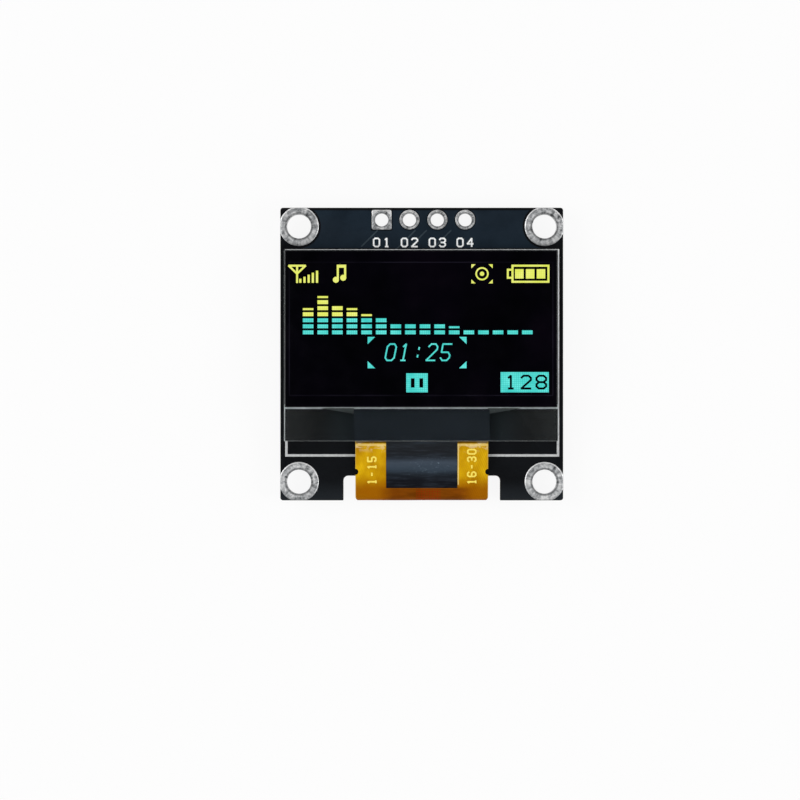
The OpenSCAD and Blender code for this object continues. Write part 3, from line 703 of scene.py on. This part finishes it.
def build_front_copper():
    """The copper area under the mask of the header strip, and the traces that cross it."""
    top = BOARD[1].y - 0.24
    clear = RING_R + 0.2
    slot = 0.98
    x, y = MOUNTS[0]
    high = degrees(asin((top - y) / clear))
    pour = arc_round(-x, y, clear, 270, 180 - high) + header_comb(top, slot)
    pour += arc_round(x, y, clear, high, -90)
    side = edges(FACE_Z - 0.005, FACE_Z + 0.014, 0.008, 2)
    add_plate("front_copper", [pour], side, [mask_on_copper])

    shape = bmesh.new()
    ridge = edges(FACE_Z - 0.005, FACE_Z + 0.026, 0.01, 2)
    first, row = PINS[0]
    step = PINS[1][0] - first
    # Each trace starts below the header row, and runs down to the left over some width of the board
    for start, run, width in ((first - 0.35, 1.75, 0.13), (first + step + 0.55, 2.1, 0.13),
                              (first + step * 1.62, 1.9, 0.11), (first + step * 2.5, 1.9, 0.11)):
        high = Vector((start, row - 0.95))
        low = high - Vector((run, run)) * 0.86
        across = Vector((1, -1)).normalized() * width / 2
        outline = [tuple(low - across), tuple(low + across), tuple(high + across), tuple(high - across)]
        plate(shape, [rounded(outline, [width * 0.45] * 4, 3)], ridge)
    add_piece("front_traces", shape, [mask_on_trace])


def pad_reach(x, y, pad, square, angle):
    """How far a pad reaches from its centre at an angle: to its own edge, or nearly to the board's."""
    c, s = cos(angle), sin(angle)
    if square:
        return pad / (abs(c) ** 14 + abs(s) ** 14) ** (1 / 14)
    margin = 0.03
    limits = [pad]
    for direction, spot, low, high in ((c, x, BOARD[0].x, BOARD[1].x), (s, y, BOARD[0].y, BOARD[1].y)):
        if abs(direction) > 1e-6:
            edge = high if direction > 0 else low
            limits.append((edge - copysign(margin, direction) - spot) / direction)
    return min(limits)


def build_eyelet(name, node, place, hole, pad, count, relief):
    """A plated hole with a mottled pad on each face. The first header pad is square."""
    x, y = place
    lip = 0.045
    thin, full, swell = 0.006, 0.03, 0.006
    rim = 0.14
    steps = 16
    rows = []
    for i in range(count):
        angle = 2 * pi * i / count
        outer = pad_reach(x, y, pad, node == "header_eyelet_1", angle)
        c, s = cos(angle), sin(angle)

        def point(radius, z):
            return (x + radius * c, y + radius * s, z)

        def skin(face, sign):
            """The pad's surface from its round rim to the lip of the hole, fuller in the middle."""
            made = []
            for k in range(steps + 1):
                t = k / steps
                radius = outer + (hole + lip - outer) * t
                rise = sqrt(max(0.0, 1 - (1 - min(1.0, t / rim)) ** 2))
                spot = Vector(point(radius, face))
                bumps = noise.noise(spot * 3.1) * 0.6 + noise.noise(spot * 7.3) * 0.4
                height = full + swell * sin(pi * t) + relief * bumps
                made.append(point(radius, face + sign * min(TIN - 0.001, max(thin, height)) * rise))
            top = made[-1][2]
            made += [point(hole + lip * (1 - sin(a)), top - sign * lip * (1 - cos(a)))
                     for a in quarter(3)[1:]]
            return made

        # Inside the board the pads and the plating lie a hair under its faces
        low, high = BACK_Z + 0.002, FACE_Z - 0.002
        rows.append(skin(FACE_Z, 1) + skin(BACK_Z, -1)[::-1]
                    + [point(outer - 0.004, low), point(hole + TIN - 0.002, low)]
                    + [point(hole + TIN - 0.002, high), point(outer - 0.004, high)])
    shape = bmesh.new()
    surface(shape, rows, closed=True, ring=True)
    add_piece(name, shape, [ring_paint("tin_" + name, x, y, hole, pad)], [node])


def build_eyelets():
    for node, place in zip(numbered("mount_eyelet_"), MOUNTS):
        build_eyelet("ring_" + node[-1], node, place, HOLE_R, RING_R, 144, 0.012)
    for node, place in zip(numbered("header_eyelet_"), PINS):
        low, high = node_box(node)
        build_eyelet("pad_" + node[-1], node, place, PIN_R, (high.x - low.x) / 2, 96, 0.006)


# ---- Display panel ----


def build_front_glass():
    low, high = GLASS[0] + Vector((0, 0, 0.012)), GLASS[1] - Vector((0, 0, 0.001))
    side = edges(low.z, high.z, 0.025, 2)
    outline = footprint(low, high, 0.03)
    add_plate("glass", [outline], side, [glass, ground_glass], ["front_glass"])


def build_rear_glass():
    """The rear glass, with the hollow for the drying film in its upper side."""
    low, high = REAR
    wall, depth = 0.7, 0.2
    floor = high.z - depth
    bevel = 0.035
    outer = footprint(low, high, 0.04)
    pocket = rectangle(low.x + wall, low.y + wall, high.x - wall, high.y - wall)[::-1]
    shape = bmesh.new()
    plate(shape, [outer, pocket], [(floor, 0), (high.z - 0.04, 0), (high.z - 0.001, bevel)])
    plate(shape, [outer], [(low.z + 0.001, bevel), (low.z + 0.04, 0), (floor - 0.0005, 0)])
    add_piece("back_glass", shape, [glass], ["rear_glass"])


def build_seal():
    """The seal round the panel. Along the ledge it swells out and runs down the rear glass's edge."""
    low, high = SEAL
    wide = 0.35
    level = edges(low.z + 0.001, high.z - 0.001)
    left, right, foot, head = low.x + wide, high.x - wide, low.y + wide, high.y - wide
    start = foot + 0.002
    hoop = [(low.x, start), (left, start), (left, head), (right, head), (right, start), (high.x, start),
            (high.x, high.y), (low.x, high.y)]
    shape = bmesh.new()
    # The hoop takes the dark seal colour. The strip and the swell along the ledge take the pale one, which is
    # painted highlight
    plate(shape, [hoop], level, 1, 1)
    plate(shape, [rectangle(low.x, low.y, high.x, foot)], level)
    count = 60
    end_gap = 0.05
    inner, top = low.y + 0.002, high.z - 0.002
    rows = []
    for i in range(count + 1):
        x = low.x + end_gap + (high.x - low.x - 2 * end_gap) * i / count
        swell = 0.075 + 0.015 * noise.noise(Vector((x * 0.9, 3.1, 0)))
        drop = 0.2 + 0.05 * noise.noise(Vector((x * 0.7, 8.4, 0)))
        rows.append([(x, inner, top), (x, low.y - swell, top), (x, low.y - swell * 0.8, high.z - drop * 0.4),
                     (x, low.y - swell * 0.35, high.z - drop * 0.8), (x, inner, high.z - drop)])
    closed_tube(shape, rows)
    add_piece("seal", shape, [seal, dark_seal], ["edge_seal"])


def build_film():
    low, high = FILM
    side = edges(low.z + 0.001, high.z - 0.006, 0.03, 2)
    add_plate("film", [footprint(low, high, 0.05)], side, [film, film_edge], ["polarizer"])


def build_ledge_print():
    """A dark print on the underside of the ledge, which hides the chip and the cable's bond."""
    outline = rectangle(-FLEX_HALF - 0.12, GLASS[0].y + 0.01, FLEX_HALF + 0.1, REAR[0].y - 0.13, 0.1)
    side = edges(GLASS[0].z + 0.001, GLASS[0].z + 0.01)
    add_plate("ledge_print", [outline], side, [ledge_print])


# ---- Flex cable ----


class CablePath:
    """The middle line of the flex cable in side view: the bond, a slack bow, the tight bend and the tail."""

    def __init__(self):
        self.edge = GLASS[0].y
        level = GLASS[0].z - FLEX_T / 2
        run = self.edge - BOARD[0].y - FLEX_T / 2
        drop = GLASS[0].z - BACK_Z
        bow = 2 * atan((drop - 2 * BEND_R) / (run - BEND_R))
        radius = (run - BEND_R * (1 - sin(bow))) / sin(bow)
        self.bow_angle, self.bow_r = bow, radius
        self.bow_centre = Vector((self.edge, level - radius))
        self.bend_centre = self.bow_centre + (radius - BEND_R) * Vector((-sin(bow), cos(bow)))

    def on_bow(self, angle):
        """A point and the outward direction on the bow, at an angle from its top."""
        out = Vector((-sin(angle), cos(angle)))
        return self.bow_centre + self.bow_r * out, out

    def on_bend(self, angle):
        out = Vector((-sin(angle), cos(angle)))
        return self.bend_centre + BEND_R * out, out

    def bow_at(self, y):
        """The angle on the bow at a place along the board."""
        return asin((self.edge - y) / self.bow_r)


PATH = CablePath()
# The half-round marks cut into the neck's sides
MARK_Y = GLASS[0].y - 2.8
MARK_R = 0.27


def wave(x, y):
    """How far the cable stands off its smooth path: crumpled near the glass, and nearly flat elsewhere."""
    depth = GLASS[0].y - y
    near = max(0.0, 1 - depth / 1.1) ** 2
    start = min(1.0, max(0.0, depth / 0.12))
    side = min(1.0, max(0.0, (abs(x) - 2.6) / 1.2))
    crumple = noise.noise(Vector((x * 1.5, y * 1.3, 1.7)))
    crumple += 0.5 * noise.noise(Vector((x * 3.4, y * 2.2, 5.2)))
    slack = noise.noise(Vector((x * 0.35, y * 0.5, 9.1)))
    return start * (0.034 * near * side * crumple + 0.01 * slack)


def ribbon(shape, rows, half_width, thickness, columns, lift=0.0, waves=False, x0=0.0):
    """Adds a thin band through rows of (point, outward direction), as wide at each as half_width says."""
    made = []
    rim = thickness * 0.3
    for (place, out), half in zip(rows, half_width):
        xs = [-half + rim + 2 * (half - rim) * i / columns for i in range(columns + 1)]
        # Out along the outer face and back along the inner one, with a blunt rim at each end
        points = []
        for sign, order in ((1, xs), (-1, xs[::-1])):
            points += [(x, sign * 0.5) for x in order]
            points += [(copysign(half, order[-1]), sign * share) for share in (0.2, -0.2)]
        loop = []
        for x, share in points:
            off = lift + share * thickness + (wave(x, place.x) if waves else 0.0)
            loop.append((x0 + x, place.x + out.x * off, place.y + out.y * off))
        made.append(loop)
    closed_tube(shape, made)


def neck_half(y):
    """The neck's half width: less at the half-round marks and at the round corners of the bend."""
    half = FLEX_HALF
    if abs(y - MARK_Y) < MARK_R:
        half -= sqrt(MARK_R ** 2 - (y - MARK_Y) ** 2)
    corner = 0.35
    depth = BOARD[0].y + corner - y
    if depth > 0:
        half -= corner - sqrt(max(0.0, corner ** 2 - depth ** 2))
    return half


def cable_rows():
    """Places along the cable from its bond to its tail, closer together where its outline changes."""
    ys = [PATH.edge - 0.02 * k for k in range(6)]
    ys += [MARK_Y + MARK_R * cos(pi * k / 16) for k in range(17)]
    bow_end = PATH.on_bow(PATH.bow_angle)[0].x
    y = PATH.edge - 0.2
    while y > bow_end:
        if abs(y - MARK_Y) > MARK_R + 0.03:
            ys.append(y)
        y -= 0.1
    bond = [(Vector((PATH.edge + s, GLASS[0].z - FLEX_T / 2)), Vector((0, 1))) for s in (1.1, 0.8, 0.4, 0.1)]
    rows = bond + [PATH.on_bow(PATH.bow_at(y)) for y in sorted(ys, reverse=True)]
    turn = pi - PATH.bow_angle
    rows += [PATH.on_bend(PATH.bow_angle + turn * k / 40) for k in range(1, 41)]
    widths = [neck_half(place.x) for place, out in rows]
    # Under the board the neck widens to the tail, with a fillet and then a round corner
    wide = FLEX[1].x
    fillet, corner = 0.3, 0.2
    start = TAIL_START
    under = [(y, FLEX_HALF) for y in (-12.2, -11.6, -11.0, -10.4, start - fillet - 0.1)]
    under += [(start - fillet * (1 - sin(a)), FLEX_HALF + fillet * (1 - cos(a))) for a in quarter(6)]
    under += [(start + 0.002 + corner * (1 - cos(a)), wide - corner * (1 - sin(a))) for a in quarter(6)]
    under += [(start + 0.8, wide), (TAIL_END, wide)]
    rows += [(Vector((y, BACK_Z - FLEX_T / 2)), Vector((0, -1))) for y, half in under]
    return rows, widths + [half for y, half in under]


def build_cable():
    shape = bmesh.new()
    rows, widths = cable_rows()
    ribbon(shape, rows, widths, FLEX_T, 72, waves=True)
    add_piece("cable", shape, [polyimide], ["flex_cable"], smooth=50)

    shape = bmesh.new()
    half = (COVER[1].x - COVER[0].x) / 2
    stop = PATH.bow_at(COVER[0].y + 0.02)
    count = 90
    rows = [PATH.on_bow(stop * k / count) for k in range(count + 1)]
    lift = FLEX_T / 2 + COVER_T * 0.5
    ribbon(shape, rows, [half] * (count + 1), COVER_T * 0.8, 64, lift, True)
    add_piece("cover", shape, [cover_film], ["flex_cover"], smooth=50)


def add_pad(shape, x, half, y0, y1, corner, thickness, rim, material=0):
    """Adds a tinned pad on the board's back, with a round rim."""
    outline = rectangle(x - half, y0, x + half, y1, corner)
    plate(shape, [outline], edges(BACK_Z - thickness, BACK_Z - 0.001, rim, 2), material, material)


def pad_x(i):
    """Where one of the cable's pads lies."""
    return (i - (PAD_COUNT - 1) / 2) * PAD_PITCH


def build_solder():
    """A bead over each conductor at the end of the cable, on its tinned pad."""
    shape = bmesh.new()
    low, high = SOLDER
    top = BACK_Z - low.z
    half = 0.18
    for i in range(PAD_COUNT):
        x = pad_x(i)
        full = 0.9 + 0.1 * sin(i * 2.4)
        rows = []
        for k in range(13):
            t = k / 12
            y = low.y + (high.y - low.y) * t
            swell = sqrt(max(0.0, 1 - (2 * t - 1) ** 2)) ** 0.8
            height = FLEX_T * 0.9 + (top - FLEX_T) * full * swell
            # The bead ends on the board, past the cable's end
            if t > 0.5:
                height *= (1 - ((t - 0.5) / 0.5) ** 2.2)
            width = half * (0.55 + 0.45 * swell)
            rows.append([(x - width * cos(a), y, BACK_Z - 0.001 - max(0.004, height) * sin(a) ** 0.75)
                         for a in [pi * j / 8 for j in range(9)]])
        closed_tube(shape, rows)
        add_pad(shape, x, half, TAIL_END + 0.01, high.y + 0.25, 0.06, 0.02, 0.01)
    add_piece("cable_solder", shape, [solder], ["flex_solder"])


# ---- Parts on the back ----


CHIPS = numbered("capacitor_") + numbered("resistor_")


def build_chips():
    """Chip parts with rounded metal ends, lying along Y on the board's back. Resistors have a glazed top."""
    end, skin, inset_y, under = 0.35, 0.03, 0.12, 0.06
    for node in CHIPS:
        low, high = node_box(node)
        glazed = node.startswith("resistor_")
        shape = bmesh.new()
        block(shape, (low.x + skin, low.y + inset_y, low.z + skin),
              (high.x - skin, high.y - inset_y, BACK_Z - skin), 0.04, 0.05)
        for y in (low.y, high.y - end):
            block(shape, (low.x, y, low.z), (high.x, y + end, BACK_Z - 0.004), 0.07, 0.08, 1, 4)
        if glazed:
            block(shape, (low.x + under, low.y + end - 0.02, low.z + 0.004),
                  (high.x - under, high.y - end + 0.02, low.z + 0.1), 0.015, 0.04, 2, 2)
        name, body, slot = ("res_", alumina, "black_ceramic") if glazed else ("cap_", ceramic, "tan_ceramic")
        materials = [body, end_metal] + [glaze] * glazed
        add_piece(name + node[-1], shape, materials, [node])


def add_fillet(shape, x, half, y, sign, height, reach):
    """Adds solder that rises in a hollow curve from a pad up a chip part's end."""
    rows = []
    for k in range(9):
        t = k / 8
        rise = height * (1 - t) ** 2.3
        width = half * (0.96 + 0.1 * t)
        far = sign * reach * t
        row = []
        for j in range(11):
            u = -1 + 2 * j / 10
            drop = 1 - abs(u) ** 5 * 0.75
            row.append((x + width * u, y + far * (1 - 0.12 * u * u), BACK_Z - 0.012 - rise * drop))
        row += [(x + side * width, y + far * 0.88, BACK_Z - 0.002) for side in (1, -1)]
        rows.append(row)
    closed_tube(shape, rows)
    ends = sorted((y - sign * 0.3, y + sign * (reach + 0.05)))
    add_pad(shape, x, half + 0.06, *ends, 0.08, 0.018, 0.008)


def build_chip_solder():
    shape = bmesh.new()
    for node in CHIPS:
        low, high = node_box(node)
        height = 0.62 * (BACK_Z - low.z)
        for y, sign in ((low.y, -1), (high.y, 1)):
            add_fillet(shape, (low.x + high.x) / 2, (high.x - low.x) / 2, y - sign * 0.03, sign, height, 0.36)
    add_piece("chip_joints", shape, [solder], ["chip_solder"])


def build_regulator():
    """The regulator's moulded body with its parting line, and its three bent leads on their pads."""
    low, high = node_box("regulator_body")
    depth = high.z - low.z
    side = [(low.z, 0.13), (low.z + 0.02, 0.095), (low.z + 0.06, 0.075), (low.z + 0.45 * depth, 0.012),
            (low.z + 0.46 * depth, 0.0), (low.z + 0.54 * depth, 0.0), (low.z + 0.55 * depth, 0.012),
            (high.z - 0.04, 0.07), (high.z, 0.11)]
    add_plate("regulator", [footprint(low, high, 0.05)], side, [moulding], ["regulator_body"], 25)

    lead_low, lead_high = node_box("regulator_leads")
    thickness, half_width, bend = 0.12, 0.2, 0.12
    middle = centre((low, high))
    level = lead_low.z + thickness / 2
    foot = BACK_Z - thickness / 2 - 0.004
    shape = bmesh.new()
    for x, tip in ((middle.x, lead_high.y), (lead_low.x + half_width, lead_low.y),
                   (lead_high.x - half_width, lead_low.y)):
        turn = copysign(1, tip - middle.y)
        body_edge = middle.y + turn * (high.y - low.y) / 2
        knee = body_edge + turn * (abs(tip - body_edge) / 2 - thickness / 2)
        rows = [(Vector((body_edge - turn * 0.05, level)), Vector((0, -1)))]
        for a in quarter(6):
            spot = Vector((knee - turn * bend * (1 - sin(a)), level + bend * (1 - cos(a))))
            rows.append((spot, Vector((turn * sin(a), -cos(a)))))
        for a in quarter(6):
            spot = Vector((knee + turn * bend * (1 - cos(a)), foot - bend * (1 - sin(a))))
            rows.append((spot, Vector((turn * cos(a), -sin(a)))))
        rows.append((Vector((tip, foot)), Vector((0, -1))))
        ribbon(shape, rows, [half_width] * len(rows), thickness, 4, x0=x)
        ends = sorted((knee - turn * 0.1, tip + turn * 0.12))
        add_pad(shape, x, half_width + 0.08, *ends, 0.08, 0.03, 0.014, 1)
    add_piece("regulator_pins", shape, [end_metal, solder], ["regulator_leads"])


def build_back_copper():
    """The copper area under the mask of the back. It keeps clear of the corner rings with square cuts."""
    margin = 0.35
    clear = RING_R + 0.25
    slot = 1.1
    inner_x = -MOUNTS[0][0] - clear
    inner_y = MOUNTS[0][1] - clear
    left, bottom = BOARD[0].x + margin, BOARD[0].y + margin
    top = BOARD[1].y - margin
    half = NOTCH_W / 2 + margin
    notch = bottom + NOTCH_D
    corners = [(-inner_x, bottom), (-half, bottom), (-half, notch), (half, notch), (half, bottom),
               (inner_x, bottom), (inner_x, -inner_y), (-left, -inner_y), (-left, inner_y)]
    corners += [(inner_x, inner_y), (inner_x, top)] + header_comb(top, slot)
    corners += [(-inner_x, top), (-inner_x, inner_y), (left, inner_y), (left, -inner_y), (-inner_x, -inner_y)]
    outline = rounded(corners, [0.12] * len(corners), 3)
    side = edges(BACK_Z - 0.012, BACK_Z + 0.005, 0.006, 2)
    add_plate("back_copper", [outline] + via_holes(0.005), side, [mask_on_copper])


def add_trace(shape, points, width):
    """Adds a trace with round ends and corners on the board's back."""
    way = [Vector(point) for point in points]
    ahead = [(b - a).normalized() for a, b in zip(way, way[1:])]
    right, left = [], []
    for spot, before, after in zip(way, ahead[:1] + ahead, ahead + ahead[-1:]):
        across = Vector((before.y + after.y, -before.x - after.x)) / (1 + before.dot(after)) * width / 2
        right.append(tuple(spot + across))
        left.append(tuple(spot - across))
    outline = right + left[::-1]
    ridge = edges(BACK_Z - 0.024, BACK_Z - 0.004, 0.008, 2)
    plate(shape, [rounded(outline, [width * 0.45] * len(outline), 3)], ridge)


def build_back_traces():
    """Traces from the cable's pads and from two header holes, and a stub at each small hole."""
    shape = bmesh.new()
    start_y = SOLDER[1].y + 0.3
    row_y = min(node_box(node)[0].y for node in numbered("capacitor_"))
    for i in range(PAD_COUNT):
        if i % 3 != 1:
            add_trace(shape, [(pad_x(i), start_y), (pad_x(i), row_y - 0.9 + 0.12 * (i % 4))], 0.16)
    for x, y in VIAS:
        add_trace(shape, [(x, y + 0.35), (x, y + 1.0)], 0.2)
    for (x, y), turn in zip(PINS[1:3], (-1.3, 1.3)):
        add_trace(shape, [(x, y - 1.15), (x, y - 2.2), (x + turn, y - 3.5), (x + turn, y - 5.0)], 0.3)
    add_piece("back_traces", shape, [mask_on_trace])


build_board()
build_front_copper()
build_eyelets()
build_front_glass()
build_rear_glass()
build_seal()
build_film()
build_ledge_print()
build_cable()
build_solder()
build_chips()
build_chip_solder()
build_regulator()
build_back_copper()
build_back_traces()

# Materials of the CAD nodes that are kept
KEPT = {"front_silkscreen": white_ink, "back_silkscreen": white_ink, "flex_marking": cable_ink, "vias": tin,
        "panel_tape": tape, "drying_film": drying, "emitter_layer": emitter, "trace_fans": metal_traces,
        "yellow_pixels": lit_yellow, "blue_pixels": lit_blue, "driver_chip": silicon, "bond_sealant": sealant}
for node, material in KEPT.items():
    for material_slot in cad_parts[node].material_slots:
        material_slot.material = material


# ---- Floor, light and camera ----


def show_pale(tree, plain, pale, share=1.0):
    """Shows one shader to the camera, to gloss and to glass, and another to everything else."""
    path = add_node(tree, "LightPath").outputs
    seen = path["Is Camera Ray"]
    for name in ("Is Glossy Ray", "Is Transmission Ray"):
        seen = add_node(tree, "Math", {0: seen, 1: path[name]}, operation="MAXIMUM").outputs[0]
    part = add_node(tree, "Math", {0: seen, 1: share}, operation="MULTIPLY").outputs[0]
    return add_node(tree, "MixShader", {0: part, 1: plain, 2: pale}).outputs[0]


def build_floor():
    # Half the floor's width in metres
    size = 3.0
    material = bpy.data.materials.new("floor")
    material.use_nodes = True
    tree = material.node_tree
    tree.nodes.clear()
    plain = add_node(tree, "BsdfDiffuse", {"Color": grey(0.86)}).outputs[0]
    glow = add_node(tree, "Emission", {"Strength": 1.0}).outputs[0]
    add_node(tree, "OutputMaterial", {"Surface": show_pale(tree, plain, glow, 0.9)})
    shape = bmesh.new()
    surface(shape, [[(-size, -size, 0), (size, -size, 0)], [(-size, size, 0), (size, size, 0)]])
    floor = add_object("floor", shape, [material])


def build_world():
    """A pale room for diffuse light. Gloss and glass see it too, but with a dark ceiling right overhead."""
    world = bpy.data.worlds.new("room")
    bpy.context.scene.world = world
    world.use_nodes = True
    tree = world.node_tree
    tree.nodes.clear()
    direction = add_node(tree, "TexCoord").outputs["Generated"]
    height = add_node(tree, "SeparateXYZ", {0: direction}).outputs["Z"]
    stops = ((0.0, 1.0), (0.35, 0.9), (0.7, 0.35), (0.92, 0.02))
    tone = add_ramp(tree, height, [(position, grey(level)) for position, level in stops])
    seen = add_node(tree, "Background", {"Color": tone, "Strength": 1.0}).outputs[0]
    room = add_node(tree, "Background", {"Color": grey(1.0), "Strength": 0.5}).outputs[0]
    add_node(tree, "OutputWorld", {"Surface": show_pale(tree, room, seen)})


def add_lamp(name, tilt, turn, distance, width, length, share):
    """A soft lamp aimed at the module, tilted from overhead, with its share of the light on level ground."""
    data = bpy.data.lights.new(name, "AREA")
    data.shape = "RECTANGLE"
    data.size, data.size_y = width, length
    data.energy = share * pi ** 2 * distance ** 2 / cos(radians(tilt))
    lamp = bpy.data.objects.new(name, data)
    bpy.context.scene.collection.objects.link(lamp)
    turned = Matrix.Rotation(radians(turn), 4, "Z") @ Matrix.Rotation(radians(tilt), 4, "X")
    lamp.matrix_world = turned @ Matrix.Translation((0, 0, distance))
    lamp.visible_camera = False
    # The display glass passes the lamps' light straight on, without bright images of them behind it
    lamp.visible_transmission = False


def build_light():
    add_lamp("front_softbox", 15.5, 0, 0.7, 0.5, 0.11, 0.1)
    add_lamp("left_softbox", 48, -100, 0.6, 0.35, 0.35, 0.23)
    add_lamp("right_softbox", 52, 80, 0.6, 0.3, 0.3, 0.17)


def build_camera():
    """A long lens straight above the module, which lies a little right of and above the frame's middle."""
    distance = 400.0
    aim = (-1.984, -4.193)
    data = bpy.data.cameras.new("camera")
    data.sensor_width = 36.0
    data.lens = 197.3
    data.clip_start, data.clip_end = 0.01, 10.0
    camera = bpy.data.objects.new("camera", data)
    bpy.context.scene.collection.objects.link(camera)
    camera.location = Vector((*aim, distance + FACE_Z)) * MM
    bpy.context.scene.camera = camera


build_floor()
build_world()
build_light()
build_camera()
bpy.context.scene.view_settings.view_transform = "Standard"
